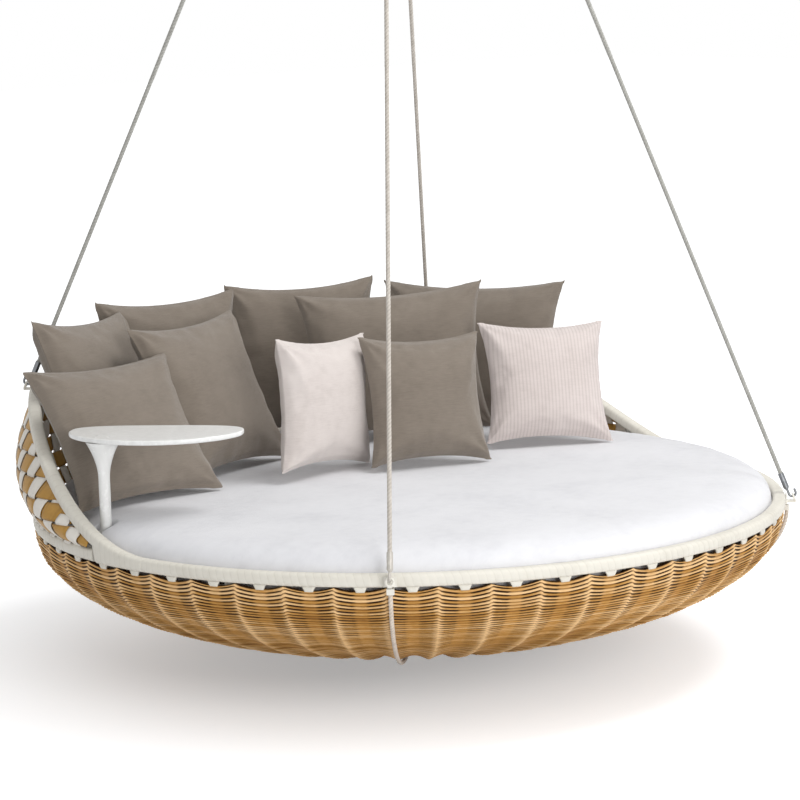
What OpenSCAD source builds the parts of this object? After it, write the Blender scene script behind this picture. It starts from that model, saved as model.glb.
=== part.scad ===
// Round hanging swing bed. A woven bowl with a raised back hangs from four ropes, and holds a
// round mattress, ten scatter cushions and a small swivelling side table.
// The origin lies in the ceiling plane. +Z is up, -Y is the open front, +Y the raised back.

/* [Bed] */
// Outer diameter of the level rim
bed_d = 2200; // [2000:10:2400]
// Distance from the ceiling to the middle of the level rim
hang_drop = 1622; // [1562:10:1902]
// Height of the strap-wound rim
rim_h = 36; // [35:1:44]
// Width of the strap-wound rim
rim_w = 38; // [36:1:44]
// Diameter of the tube inside the rim
rim_tube_d = 30; // [24:1:32]
// Depth of the bowl below the rim
bowl_depth = 365; // [330:5:420]
// Thickness of the woven bowl
bowl_wall = 12; // [8:1:16]
// Height of the dark gap between the rim and the first strand
tie_gap = 13; // [8:1:18]
// Number of straps that tie the weave to the rim
tie_count = 50; // [30:1:60]

/* [Back] */
// Height that the back of the rim rises
back_rise = 360; // [280:10:400]
// Angle from the back at which the rim starts to rise
back_reach = 98; // [90:1:104]
// Angle over which the rim climbs to its full height
back_climb = 52; // [40:1:60]
// Thickness of the chequered weave
weave_t = 6; // [4:1:8]
// How far the chequered weave bellies outwards
weave_belly = 45; // [20:1:55]
// Diameter of the posts inside the back
post_d = 18; // [14:1:22]

/* [Ropes] */
// Diameter of the four hanging ropes
rope_d = 13; // [10:0.5:16]
// Height above the ceiling of the point that the ropes aim at
aim_h = 1230; // [1100:10:1400]
// Distance of that point behind the middle of the bed
aim_y = 0; // [-40:1:60]
// Angle from the middle of the front to each front rope
front_turn = 43.8; // [43:0.2:46]
// Drop from the ceiling to the bend of a ceiling hook
hook_drop = 75; // [65:1:90]
// Rod diameter of the ceiling hooks
hook_rod_d = 12; // [10:0.5:13]
// Diameter of the threaded studs that go up into the ceiling
stud_d = 10; // [8:0.5:10]
// Length of those studs
stud_l = 60; // [40:1:80]
// Diameter of the ceiling plates
plate_d = 70; // [56:1:90]
// Thickness of the ceiling plates
plate_t = 6; // [4:0.5:8]
// Rod diameter of the hooks on the lower ends of the ropes
rim_hook_d = 7; // [6:0.5:8]
// Outer diameter of the rope ferrules
ferrule_d = 17; // [17:0.5:22]
// Length of the lower rope ferrules
ferrule_l = 45; // [42:1:80]
// Diameter of the two ropes under the bowl
sling_d = 12; // [8:0.5:14]

/* [Deck] */
// Thickness of the deck boards
deck_t = 12; // [9:1:18]
// Height of the deck bearers
bearer_h = 25; // [20:1:40]
// Width of the deck bearers
bearer_w = 40; // [30:1:50]
// Spacing of the deck bearers
bearer_pitch = 300; // [250:10:350]
// Width of the bowl ribs
rib_w = 24; // [16:1:30]
// Thickness of the bowl ribs
rib_t = 12; // [8:1:16]
// Diameter of the plate at the bottom of the bowl
base_d = 360; // [240:10:440]

/* [Mattress] */
// Room between the mattress and the inside of the rim
mattress_clear = 3; // [2:1:40]
// Thickness of the mattress
mattress_h = 170; // [140:5:190]
// Height of the mattress top above the bottom of the rim
mattress_up = 105; // [80:1:130]
// Radius of the notch round the table socket
notch_r = 62; // [60:1:80]

/* [Table] */
// Diameter of the table post
table_post_d = 32; // [28:1:36]
// Height of the table top above the bottom of the rim
table_up = 329; // [300:1:380]
// Thickness of the table top
table_t = 14; // [12:1:24]
// Length of the table top
table_l = 490; // [440:10:560]
// Depth of its straighter far half
table_far = 95; // [80:5:110]
// Depth of its rounder near half
table_near = 170; // [150:5:180]
// Diameter of the flared head of the post
flare_d = 96; // [80:1:100]
// Height of that flare
flare_h = 100; // [70:1:120]
// Height of the table socket
socket_h = 130; // [100:5:150]
// Wall of the table socket
socket_wall = 5; // [4:0.5:6]

/* [Cushions] */
// Width of the square cushions
square_w = 500; // [470:5:510]
// Height of the square cushions
square_h = 490; // [460:5:510]
// Thickness of the square and the wide cushions
deep_t = 150; // [120:5:155]
// Width of the wide cushions
wide_w = 600; // [560:5:610]
// Height of the wide cushions
wide_h = 470; // [440:5:500]
// Width of the middling cushion
middle_w = 500; // [470:5:505]
// Height of the middling cushion
middle_h = 450; // [420:5:455]
// Thickness of the middling cushion
middle_t = 140; // [110:5:145]
// Width of the small cushions
small_w = 400; // [370:5:405]
// Height of the small cushions
small_h = 390; // [360:5:410]
// Thickness of the small cushions
small_t = 130; // [100:5:135]
// Draw-in of a cushion's sides, as a share of its half width
draw_in = 0.10; // [0.03:0.01:0.14]
// Thickness of a cushion's seam edge
seam_t = 6; // [4:1:10]

/* [Hidden] */
$fn = 48;

gap = 0.3;          // seat clearance between pieces that rest on each other
run = 0.08;         // radial clearance of the table post in its socket
FL = 270 - front_turn;  // corner angles, counted from +X
FR = 270 + front_turn;
BL = 135;
BR = 45;

ring_r = bed_d / 2 - rim_w / 2;
band_z = -hang_drop - rim_h / 2;      // bottom of the level rim
bowl_r = bed_d / 2 - 10;
mattress_r = bed_d / 2 - rim_w - mattress_clear;
mattress_z = band_z + mattress_up;
deck_z = mattress_z - mattress_h - gap;

// Where the climbing rim leaves the level one: its wound straps, its tubes, the weave, the posts.
band_reach = meet(rim_h + 6, 0, back_reach, 24);
rail_reach = meet(rim_tube_d - 1.5, 0, back_reach, 24);
weave_reach = meet(rim_h + 30, 0, back_reach, 24);
post_reach = meet(rim_h + 45, 0, back_reach, 24);

// ---- shapes that several pieces share ----

function smooth(t) = let (c = max(0, min(1, t))) c * c * (3 - 2 * c);
// Height of the rim's middle over the level rim, a degrees away from the back.
function rise(a) = back_rise * smooth((back_reach - abs(a)) / back_climb);
// The angle from the back at which the rim's middle has come down to a height h.
function meet(h, lo, hi, n) =
    n == 0 ? lo : let (m = (lo + hi) / 2) rise(m) > h ? meet(h, m, hi, n - 1) : meet(h, lo, m, n - 1);
// A point on a circle, a degrees from the back, counted towards +X.
function from_back(r, a, z) = [r * sin(a), r * cos(a), z];

// Superellipse ring of n points with its flats at full size, used for the strap-wound rim.
function sgn_pow(v, e) = sign(v) * pow(abs(v), e);
function ring_profile(hw, hh, n) =
    [for (i = [0:n - 1]) let (t = 360 * (i + 0.5) / n)
        [hw * sgn_pow(cos(t), 0.6), hh * sgn_pow(sin(t), 0.6)] / pow(cos(180 / n), 0.6)];
function circle_profile(r, n) = [for (i = [0:n - 1]) r * [cos(360 * i / n), sin(360 * i / n)]];

// Skin over a list of rings with equal point counts, closed by its two end caps.
module skin(rings) {
    n = len(rings[0]);
    m = len(rings);
    pts = [for (r = rings) for (p = r) p];
    sides = [for (i = [0:m - 2]) for (j = [0:n - 1]) for (k = [0:1])
        let (a = i * n + j, b = i * n + (j + 1) % n, c = a + n, d = b + n)
            k == 0 ? [a, c, d] : [a, d, b]];
    caps = [[for (j = [0:n - 1]) j], [for (j = [n - 1:-1:0]) (m - 1) * n + j]];
    polyhedron(points = pts, faces = concat(sides, caps), convexity = 8);
}

// Skin over rings with an inner ring each: a bent pipe whose ends are open.
module pipe_skin(outer, inner) {
    n = len(outer[0]);
    m = len(outer);
    pts = concat([for (r = outer) for (p = r) p], [for (r = inner) for (p = r) p]);
    o = m * n;
    faces = [for (i = [0:m - 2]) for (j = [0:n - 1])
        let (a = i * n + j, b = i * n + (j + 1) % n, c = a + n, d = b + n)
            each [[a, c, d], [a, d, b], [o + a, o + d, o + c], [o + a, o + b, o + d]]];
    ends = [for (j = [0:n - 1]) let (b = (j + 1) % n, e = (m - 1) * n)
        each [[j, b, o + b], [j, o + b, o + j], [e + j, o + e + j, o + e + b], [e + j, o + e + b, e + b]]];
    polyhedron(points = pts, faces = concat(faces, ends), convexity = 10);
}

module torus(r, wire) {
    rotate_extrude() translate([r, 0]) circle(r = wire);
}

// ---- ropes and their fittings ----

rope_bore = rope_d / 2 + gap;
rope_in = 35;           // length of rope inside the lower ferrule
bend_r = 10;            // inner bends of the lower hooks
tip_l = 8;
shank_l = 22;
eye_r = 10;             // rings that the lower hooks catch
eye_wire = 3;
top_eye_r = 16;         // rings in the upper ends of the ropes
top_eye_wire = 4;
top_ferrule_l = 45;
top_in = 35;
top_bend_r = 16;        // bends of the ceiling hooks
anchor_out = rim_w / 2 + 11;    // a lower hook's shank ends this far outside the rim tube's middle
anchor_up = 12;         // and this far above it

aim = [0, aim_y, aim_h];
function is_back(a) = a < 180;
function corner_point(a) =
    let (r = ring_r + anchor_out, z = -hang_drop + anchor_up + (is_back(a) ? rise(90 - BR) : 0))
        [r * cos(a), r * sin(a), z];
function rope_dir(a) = (aim - corner_point(a)) / norm(aim - corner_point(a));
function top_point(a) =
    let (p = corner_point(a), u = rope_dir(a)) p + u * ((-hook_drop - p[2]) / u[2]);
function rope_tilt(a) = acos(rope_dir(a)[2]);
function rope_turn(a) = atan2(rope_dir(a)[1], rope_dir(a)[0]);
function hook_side(a) = sign(cos(a));

// Local frame at a corner: +Z runs up along the rope, +X leans inwards.
module at_corner(a) {
    translate(corner_point(a)) rotate([0, rope_tilt(a), rope_turn(a)]) children();
}
module at_top(a) {
    translate(top_point(a)) rotate([0, rope_tilt(a), rope_turn(a)]) children();
}

// Middle of a ceiling hook's bend, in line with the rope and above its pivot.
function bend_shift(a) = let (u = rope_dir(a)) [u[0], 0, u[2]] / norm([u[0], u[2]]) - [0, 0, 1];
function hook_point(a) = top_point(a) + top_bend_r * bend_shift(a);

// Hook in the XZ plane, and its shank with a stud above the ceiling.
module ceiling_hook(a) {
    side = hook_side(a);
    rod = hook_rod_d / 2;
    rest = -hook_point(a)[2];
    color("#8f9396") translate(hook_point(a)) mirror([side > 0 ? 0 : 1, 0, 0]) {
        translate([0, 0, top_bend_r]) rotate([90, 0, 0]) rotate([0, 0, 180])
            rotate_extrude(angle = 225) translate([top_bend_r, 0]) circle(r = rod);
        translate([-top_bend_r, 0, top_bend_r])
            cylinder(r = rod, h = rest - top_bend_r);
        translate([-top_bend_r, 0, rest]) cylinder(d = stud_d, h = stud_l);
        translate([-top_bend_r, 0, rest - plate_t - gap - 4]) cylinder(r = rod + 5, h = 4);
    }
}

module ceiling_plates() {
    color("#8f9396") for (a = [FL, FR, BL, BR])
        translate([hook_point(a)[0] - hook_side(a) * top_bend_r, hook_point(a)[1], -plate_t])
            difference() {
                cylinder(d = plate_d, h = plate_t);
                translate([0, 0, -1]) cylinder(r = hook_rod_d / 2 + gap, h = plate_t + 2);
            }
}

// Steel ring on top of a rope, hung in the ceiling hook, with its ferrule.
module rope_eye(a) {
    drop = top_eye_r - top_eye_wire - hook_rod_d / 2 - gap;
    spin = atan2(-sin(rope_turn(a)), cos(rope_tilt(a)) * cos(rope_turn(a)));
    color("#9a9c9e") at_top(a) {
        translate([0, 0, -drop]) rotate([0, 0, spin]) rotate([0, 90, 0]) torus(top_eye_r, top_eye_wire);
        translate([0, 0, -top_ferrule_end()]) difference() {
            cylinder(d = ferrule_d, h = top_ferrule_l);
            translate([0, 0, -1]) cylinder(r = rope_bore, h = top_in + 1);
        }
    }
}
function top_ferrule_end() =
    2 * top_eye_r - top_eye_wire - hook_rod_d / 2 - gap + top_ferrule_l;

// Taut rope, one straight tube between its two ferrules.
rope_sides = 10;
rope_rings = 8;
module rope(a) {
    low = shank_l + ferrule_l - rope_in;
    high = norm(top_point(a) - corner_point(a)) - top_ferrule_end() + top_in - gap;
    color("#c3bdb3") at_corner(a)
        skin([for (i = [0:rope_rings - 1]) let (z = low + (high - low) * i / (rope_rings - 1))
            [for (p = circle_profile(rope_d / 2, rope_sides)) [p[0], p[1], z]]]);
}

// Ferrule and open hook on the lower end of a rope.
module rim_hook(a) {
    rod = rim_hook_d / 2;
    color("#77797b") at_corner(a) {
        cylinder(r = rod, h = shank_l);
        translate([0, 0, shank_l - 8]) cylinder(r1 = rod, r2 = ferrule_d / 2, h = 8);
        translate([0, 0, shank_l]) difference() {
            cylinder(d = ferrule_d, h = ferrule_l);
            translate([0, 0, ferrule_l - rope_in - 5]) cylinder(r = rope_bore, h = rope_in + 6);
        }
        translate([-bend_r, 0, 0]) rotate([90, 0, 0]) rotate([0, 0, 180])
            rotate_extrude(angle = 180) translate([bend_r, 0]) circle(r = rod);
        translate([-2 * bend_r, 0, 0]) cylinder(r = rod, h = tip_l);
        translate([-2 * bend_r, 0, tip_l]) sphere(r = rod);
    }
}

bracket_t = 4;
bracket_w = 34;
bracket_h = 27;
rim_face = bed_d / 2 + gap;
function eye_drop() = bend_r + eye_r - eye_wire - rim_hook_d / 2 - gap;
function bracket_low(a) = -hang_drop + (is_back(a) ? rise(90 - BR) : 0) - rim_h / 2 + 4;

// Plate on the outer face of the rim with the ring that a rope's hook catches.
module rim_bracket(a) {
    ring_c = corner_point(a) + bend_r * outward(a) - eye_drop() * rope_dir(a);
    foot = ring_c - eye_r * rope_dir(a);
    reach = norm([foot[0], foot[1]]) + 2;
    color("#77797b") {
        translate(ring_c) rotate([0, rope_tilt(a), rope_turn(a)]) rotate([0, 90, 0])
            torus(eye_r, eye_wire);
        rotate([0, 0, a]) {
            translate([rim_face, -bracket_w / 2, bracket_low(a)])
                cube([bracket_t, bracket_w, bracket_h]);
            translate([rim_face, -6, foot[2] - 5]) cube([reach - rim_face, 12, 7]);
        }
    }
}
function outward(a) =
    let (t = rope_tilt(a), f = rope_turn(a)) -[cos(t) * cos(f), cos(t) * sin(f), -sin(t)];

module bracket_screws() {
    color("#5f6264") for (a = [FL, FR, BL, BR], side = [-1, 1])
        rotate([0, 0, a]) translate([rim_face + bracket_t, side * 11, bracket_low(a) + 6])
            rotate([0, 90, 0]) cylinder(d = 8, h = 2.5);
}

// ---- frame ----

front_arc = 360 - 2 * back_reach;
sweep_steps = 44;
arch_tube_d = rim_tube_d - 4;

module rim_tube_front() {
    color("#a9a59c") translate([0, 0, -hang_drop]) rotate([0, 0, 90 + back_reach])
        rotate_extrude($fn = 240, angle = front_arc) translate([ring_r, 0]) circle(d = rim_tube_d);
}

function arch_rings(profile, reach) =
    [for (i = [0:sweep_steps]) let (a = reach * (2 * i / sweep_steps - 1))
        [for (p = profile) from_back(ring_r + p[0], a, -hang_drop + rise(a) + p[1])]];

module rim_tube_back() {
    color("#a9a59c") skin(arch_rings(circle_profile(arch_tube_d / 2, 10), back_reach));
}

module lower_rail() {
    color("#a9a59c") translate([0, 0, -hang_drop]) rotate([0, 0, 90 - rail_reach])
        rotate_extrude($fn = 240, angle = 2 * rail_reach) translate([ring_r, 0]) circle(d = rim_tube_d);
}

module back_posts() {
    color("#a9a59c") for (i = [-3:3], a = post_reach * i / 3)
        translate(from_back(ring_r, a, -hang_drop + rim_tube_d / 2 + gap))
            cylinder(d = post_d, h = rise(a) - rim_tube_d / 2 - arch_tube_d / 2 - 2 * gap - arch_lean(a));
}
// The faceted tube dips under its own middle where it climbs, by its slope over a post's width.
function arch_lean(a) = post_d / 2 * abs(rise(a + 1) - rise(a - 1)) / (2 * PI * ring_r / 180) + 1.2;

// ---- bowl ----

bowl_steps = 16;
bowl_top_z = band_z - tie_gap;
bowl_low = bowl_depth - tie_gap;
function bowl_point(t, inset) = [(bowl_r - inset) * cos(t), bowl_top_z - (bowl_low - inset) * sin(t)];
// Radius of the bowl at a height, an inset inside its outer face.
function bowl_radius(z, inset) =
    (bowl_r - inset) * sqrt(max(0, 1 - pow((bowl_top_z - z) / (bowl_low - inset), 2)));

module bowl_weave() {
    color("#b28a50") rotate_extrude($fn = 120) polygon(concat(
        [for (i = [0:bowl_steps]) bowl_point(90 * i / bowl_steps, 0)],
        [for (i = [bowl_steps:-1:0]) bowl_point(90 * i / bowl_steps, bowl_wall)]));
}

rib_count = 8;
rib_in = bowl_wall + rib_t + gap;
rib_steps = 24;
module bowl_ribs() {
    first = asin(40 / bowl_low);
    last = acos(0.35 * base_d / bowl_r);
    function at(i) = first + (last - first) * i / rib_steps;
    color("#a9a59c") for (k = [0:rib_count - 1]) rotate([0, 0, 22.5 + 360 * k / rib_count])
        translate([0, rib_w / 2, 0]) rotate([90, 0, 0]) linear_extrude(rib_w) polygon(concat(
            [[bowl_radius(bowl_top_z - 2, bowl_wall + 2), band_z - gap]],
            [for (i = [0:rib_steps]) bowl_point(at(i), bowl_wall + 2)],
            [for (i = [rib_steps:-1:0]) bowl_point(at(i), rib_in + 2)],
            [[bowl_radius(bowl_top_z - 2, rib_in + 2), band_z - gap]]));
}

module base_plate() {
    r = base_d / 2;
    seat = bowl_top_z - (bowl_low - rib_in - 2) * sqrt(1 - pow(r / (bowl_r - rib_in - 2), 2));
    color("#a9a59c") translate([0, 0, seat + gap]) cylinder(r = r, h = 5);
}

bearer_top = deck_z - deck_t - gap;
bearer_out = bowl_radius(bearer_top - bearer_h, rib_in + 2.6);
bearer_rim = 30;
module bearer_ring() {
    color("#a9a59c") translate([0, 0, bearer_top - bearer_h]) rotate_extrude($fn = 180)
        translate([bearer_out - bearer_rim, 0]) square([bearer_rim, bearer_h]);
}

module deck_bearers() {
    inner = bearer_out - bearer_rim;
    rows = floor((inner - bearer_w) / bearer_pitch);
    color("#b9a98c") for (i = [-rows:rows]) {
        y = i * bearer_pitch;
        l = 2 * sqrt(pow(inner, 2) - pow(abs(y) + bearer_w / 2, 2)) - 2 * gap;
        translate([-l / 2, y - bearer_w / 2, bearer_top - bearer_h]) cube([l, bearer_w, bearer_h]);
    }
}

deck_in = 34;           // the deck ends this far inside the mattress's edge
deck_r = mattress_r - deck_in;
module deck_half(side) {
    color("#cdb894") intersection() {
        translate([0, 0, deck_z - deck_t]) cylinder(r = deck_r, h = deck_t, $fn = 96);
        translate([side > 0 ? 1 : -deck_r - 1, -deck_r - 1, deck_z - deck_t - 1])
            cube([deck_r, 2 * deck_r + 2, deck_t + 2]);
    }
}
module deck_left() { deck_half(-1); }
module deck_right() { deck_half(1); }

// ---- strap-wound rim and chequered back ----

wrap_n = 12;
module rim_wrap_front() {
    color("#e9e7de") translate([0, 0, -hang_drop]) rotate([0, 0, 90 + back_reach])
        rotate_extrude($fn = 240, angle = front_arc) translate([ring_r, 0]) difference() {
            polygon(ring_profile(rim_w / 2, rim_h / 2, wrap_n));
            circle(d = rim_tube_d + 2 * gap);
        }
}

// Where the level band has ended, the wrap reaches down to its bottom, so that it binds both.
function wrap_down(a) = abs(a) > band_reach + 0.3 ? rise(a) : 0;
function wrap_angles() = let (e = band_reach + 0.4, d = e - 0.2) concat(
    [for (i = [0:4]) -back_reach + (back_reach - e) * i / 4],
    [for (i = [0:sweep_steps - 8]) -d + 2 * d * i / (sweep_steps - 8)],
    [for (i = [0:4]) e + (back_reach - e) * i / 4]);

module rim_wrap_back() {
    outer = ring_profile(rim_w / 2, rim_h / 2, wrap_n);
    inner = circle_profile(arch_tube_d / 2 + 2.5, wrap_n);
    color("#e9e7de") pipe_skin(
        [for (a = wrap_angles()) [for (p = outer)
            from_back(ring_r + p[0], a, -hang_drop + rise(a) + p[1] - (p[1] < 0 ? wrap_down(a) : 0))]],
        [for (a = wrap_angles()) [for (i = [0:wrap_n - 1]) let (p = inner[i])
            from_back(ring_r + p[0], a, -hang_drop + rise(a) + p[1])]]);
}

module lower_band() {
    color("#e9e7de") translate([0, 0, -hang_drop]) rotate([0, 0, 90 - band_reach])
        rotate_extrude($fn = 240, angle = 2 * band_reach) translate([ring_r, 0]) difference() {
            polygon(ring_profile(rim_w / 2, rim_h / 2, wrap_n));
            circle(d = rim_tube_d + 2 * gap);
        }
}

weave_rows = 2;         // rows and columns of the panels that the chequered weave is laid in
weave_cols = 16;
weave_fine = 3;         // facets along each side of a panel
weave_in = post_d / 2 + 1.2;    // its inner face lies this far outside the rim tube's middle
module back_weave() {
    width = 2 * weave_reach / weave_cols;
    slit = gap / (2 * PI * ring_r / 180);
    function low(a) = rim_h / 2 + 2 * gap;
    function tall(a) = rise(a) - rim_h / 2 - 2 - low(a);
    // A point at an angle, a share t up the row j, on the inner or the outer face.
    function point(a, j, t, face) =
        let (h = tall(a) / weave_rows, z = h * j + gap / 2 + (h - gap) * t, s = z / tall(a),
            r = ring_r + weave_in + face * weave_t + weave_belly * sin(180 * s) * smooth(rise(a) / 200))
        from_back(r, a, -hang_drop + low(a) + z);
    color("#b08538") for (i = [0:weave_cols - 1], j = [0:weave_rows - 1])
        skin([for (k = [0:weave_fine])
            let (a = width * i - weave_reach + slit + (width - 2 * slit) * k / weave_fine) concat(
                [for (m = [0:weave_fine]) point(a, j, m / weave_fine, 0)],
                [for (m = [weave_fine:-1:0]) point(a, j, m / weave_fine, 1)])]);
}

tie_w = 28;
tie_t = 9;
tie_turn = 6;
lug_w = 20;
lug_apart = asin((tie_w + lug_w) / 2 / bowl_r) + 0.2;
lug_at = [FL, FR, FL - 180, FR - 180];
module rim_ties() {
    // A tie that would stand where a lug is gives way to it.
    color("#e9e7de") for (k = [0:tie_count - 1]) let (a = tie_turn + 360 * k / tie_count)
        if (min([for (l = lug_at) abs((a - l + 540) % 360 - 180)]) > lug_apart)
            rotate([0, 0, a]) translate([bowl_r - tie_t - 1, -tie_w / 2, bowl_top_z + gap])
                cube([tie_t, tie_w, tie_gap - 2 * gap]);
}

// ---- ropes under the bowl ----

sling_rings = 20;
sling_sides = 8;
lug_h = 16;
lug_t = 6;
sling_off = sling_d / 2 + 8;
// The second sling passes under the first, so it hangs lower by its own thickness.
module sling(turn, lower) {
    first = asin((lug_h - tie_gap + 2 * gap) / bowl_low);
    function at(i) = first + (180 - 2 * first) * i / (sling_rings - 1);
    function middle(t) = [(bowl_r + sling_off) * cos(t), bowl_top_z - (bowl_low + sling_off + lower) * sin(t)];
    function slope(t) = [-(bowl_r + sling_off) * sin(t), -(bowl_low + sling_off + lower) * cos(t)];
    color("#cdb9a6") rotate([0, 0, turn]) skin([for (i = [0:sling_rings - 1])
        let (t = at(i), c = middle(t), d = i == 0 || i == sling_rings - 1 ? [0, -cos(t)] : slope(t) / norm(slope(t)))
            [for (p = circle_profile(sling_d / 2, sling_sides))
                [c[0] - d[1] * p[0], p[1], c[1] + d[0] * p[0]]]]);
}
module sling_a() { sling(FL, 0); }
module sling_b() { sling(FR, sling_d + 2 * gap); }

module sling_lugs() {
    out = sling_off + sling_d / 2;
    color("#77797b") for (a = lug_at) rotate([0, 0, a]) {
        translate([bowl_r + gap, -lug_w / 2, band_z - lug_h]) cube([out, lug_w, lug_h - gap]);
        translate([ring_r, -lug_w / 2, band_z - gap - lug_t])
            cube([bowl_r + 2 - ring_r, lug_w, lug_t]);
    }
}

// ---- mattress and cushions ----

crown_pow = 20;
round_pow = 0.45;
mattress_steps = 20;
mattress_mid = mattress_z - mattress_h / 2;
function puff(r) = pow(max(0, 1 - pow(r / mattress_r, crown_pow)), round_pow) * mattress_h / 2;
function mattress_top(r) = mattress_mid + puff(r);

table_angle = 173;                       // the post stands this far round from +X
table_r = mattress_r - 50;
table_at = [table_r * cos(table_angle), table_r * sin(table_angle)];

module mattress() {
    function radius(i) = mattress_r * sin(90 * i / mattress_steps);
    color("#ededf0") difference() {
        rotate_extrude($fn = 96) polygon(concat(
            [for (i = [0:mattress_steps]) [radius(i), mattress_mid + puff(radius(i))]],
            [for (i = [mattress_steps - 1:-1:0]) [radius(i), mattress_mid - puff(radius(i))]]));
        translate([table_at[0], table_at[1], deck_z - 1]) cylinder(r = notch_r, h = mattress_h + 2);
    }
}

square = [square_w, square_h, deep_t];
wide = [wide_w, wide_h, deep_t];
middling = [middle_w, middle_h, middle_t];
small = [small_w, small_h, small_t];
cushion_n = 10;
// Each cushion: its size, the direction of its foot from the middle of the bed, the distance of the
// foot from the mattress's edge, and its facing, lean back and roll.
function foot(c) = (mattress_r - c[2]) * [cos(c[1]), sin(c[1])];
cushion_list = [
    [square, 138, 238, -65, 20, -4],
    [middling, 164.5, 258, -90, 35, 0],
    [square, 127.5, 548, -75, 25, 0],
    [square, 107.5, 230, -95, 5, 0],
    [square, 72, 249, -110, 5, 0],
    [wide, 51.5, 483, -120, 10, 2],
    [wide, 36, 179, -145, 15, 0],
    [small, 130, 825, -80, 5, -4],
    [small, 9.5, 937, -105, 15, -2],
    [small, 2, 449, -120, 25, -2]];

function puffed(u, v) = pow(max(0, (1 - u * u) * (1 - v * v)), 0.45);
function cushion_point(c, u, v, face) =
    let (w = c[0][0], h = c[0][1], turn = c[3], lean = c[4], roll = c[5],
        x = w / 2 * u * (1 - draw_in * (1 - v * v)),
        y = h / 2 * v * (1 - draw_in * (1 - u * u)),
        n = face * (c[0][2] / 2 * puffed(u, v) + seam_t / 2),
        a = x * cos(roll) - y * sin(roll),
        b = x * sin(roll) + y * cos(roll) + h / 2,
        out = n * cos(lean) - b * sin(lean))
    [foot(c)[0] - a * sin(turn) + out * cos(turn), foot(c)[1] + a * cos(turn) + out * sin(turn),
        n * sin(lean) + b * cos(lean)];

// A crowned pad, drawn in at its sides, set down on the mattress under it.
module cushion(c) {
    n = cushion_n;
    function at(i) = 2 * i / n - 1;
    flat = [for (face = [1, -1], j = [0:n], i = [0:n]) cushion_point(c, at(i), at(j), face)];
    lift = max([for (p = flat) mattress_top(min(norm([p[0], p[1]]), mattress_r)) - p[2]]) + gap;
    m = (n + 1) * (n + 1);
    function id(i, j, back) = back * m + j * (n + 1) + i;
    fronts = [for (j = [0:n - 1], i = [0:n - 1]) let (a = id(i, j, 0), b = a + 1, d = a + n + 1, e = d + 1)
        each [[a, e, b], [a, d, e]]];
    backs = [for (f = fronts) [f[0] + m, f[2] + m, f[1] + m]];
    edge = concat([for (i = [0:n - 1]) [i, 0]], [for (j = [0:n - 1]) [n, j]],
        [for (i = [n:-1:1]) [i, n]], [for (j = [n:-1:1]) [0, j]]);
    sides = [for (k = [0:len(edge) - 1]) let (p = edge[k], q = edge[(k + 1) % len(edge)],
            a = id(p[0], p[1], 0), b = id(q[0], q[1], 0))
        each [[a, b, b + m], [a, b + m, a + m]]];
    translate([0, 0, lift]) polyhedron(points = flat, faces = concat(fronts, backs, sides), convexity = 4);
}
module taupe(i) { color("#8b8378") cushion(cushion_list[i]); }
module beige(i) { color("#d8d0cc") cushion(cushion_list[i]); }

// ---- side table ----

table_turn = -48;                        // the top's long side points this way
table_shift = [130, 91];                 // middle of the top from the post, along its long side
socket_r = table_post_d / 2 + run + socket_wall;
socket_foot_t = 6;
flange_r = 54;
screw_ring = 42;
table_z = band_z + table_up;

module at_table(z) {
    translate([table_at[0], table_at[1], z]) rotate([0, 0, table_turn]) children();
}

module table_socket() {
    color("#e4e4e2") at_table(deck_z + gap) difference() {
        union() {
            intersection() {
                cylinder(r = flange_r, h = socket_foot_t);
                rotate([0, 0, -table_turn]) translate([-table_at[0], -table_at[1], -1])
                    cylinder(r = deck_r, h = socket_foot_t + 2, $fn = 96);
            }
            cylinder(r = socket_r, h = socket_h);
        }
        translate([0, 0, socket_foot_t]) cylinder(r = table_post_d / 2 + run, h = socket_h);
    }
}

module socket_screws() {
    color("#5f6264") at_table(deck_z + gap + socket_foot_t) for (k = [-1:1])
        rotate([0, 0, -table_turn + table_angle + 180 + 60 * k]) translate([(screw_ring + socket_r) / 2, 0, 0])
            cylinder(d = 9, h = 4);
}

module table_post() {
    foot = deck_z + 2 * gap + socket_foot_t;
    top = table_z - table_t;
    steps = 10;
    color("#ededea") at_table(0) rotate_extrude() polygon(concat(
        [[0, foot], [table_post_d / 2, foot]],
        [for (i = [0:steps]) let (t = i / steps)
            [table_post_d / 2 + (flare_d - table_post_d) / 2 * pow(t, 1.8), top - flare_h * (1 - t)]],
        [[0, top]]));
}

module table_top() {
    n = 24;
    a = table_l / 2;
    color("#ededea") at_table(table_z - table_t + gap) translate(table_shift) linear_extrude(table_t - gap)
        polygon(concat(
            [for (i = [0:n]) let (t = 180 * i / n) [a * sgn_pow(cos(t), 0.62), table_far * pow(sin(t), 0.62)]],
            [for (i = [1:n - 1]) let (t = 180 + 180 * i / n) [a * cos(t), table_near * sgn_pow(sin(t), 1.2)]]));
}

module table_screws() {
    color("#5f6264") at_table(table_z + gap) for (k = [0:3])
        rotate([0, 0, 45 + 90 * k]) translate([flare_d / 4, 0, 0]) cylinder(d = 8, h = 0.8);
}

// ---- nodes ----

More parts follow.
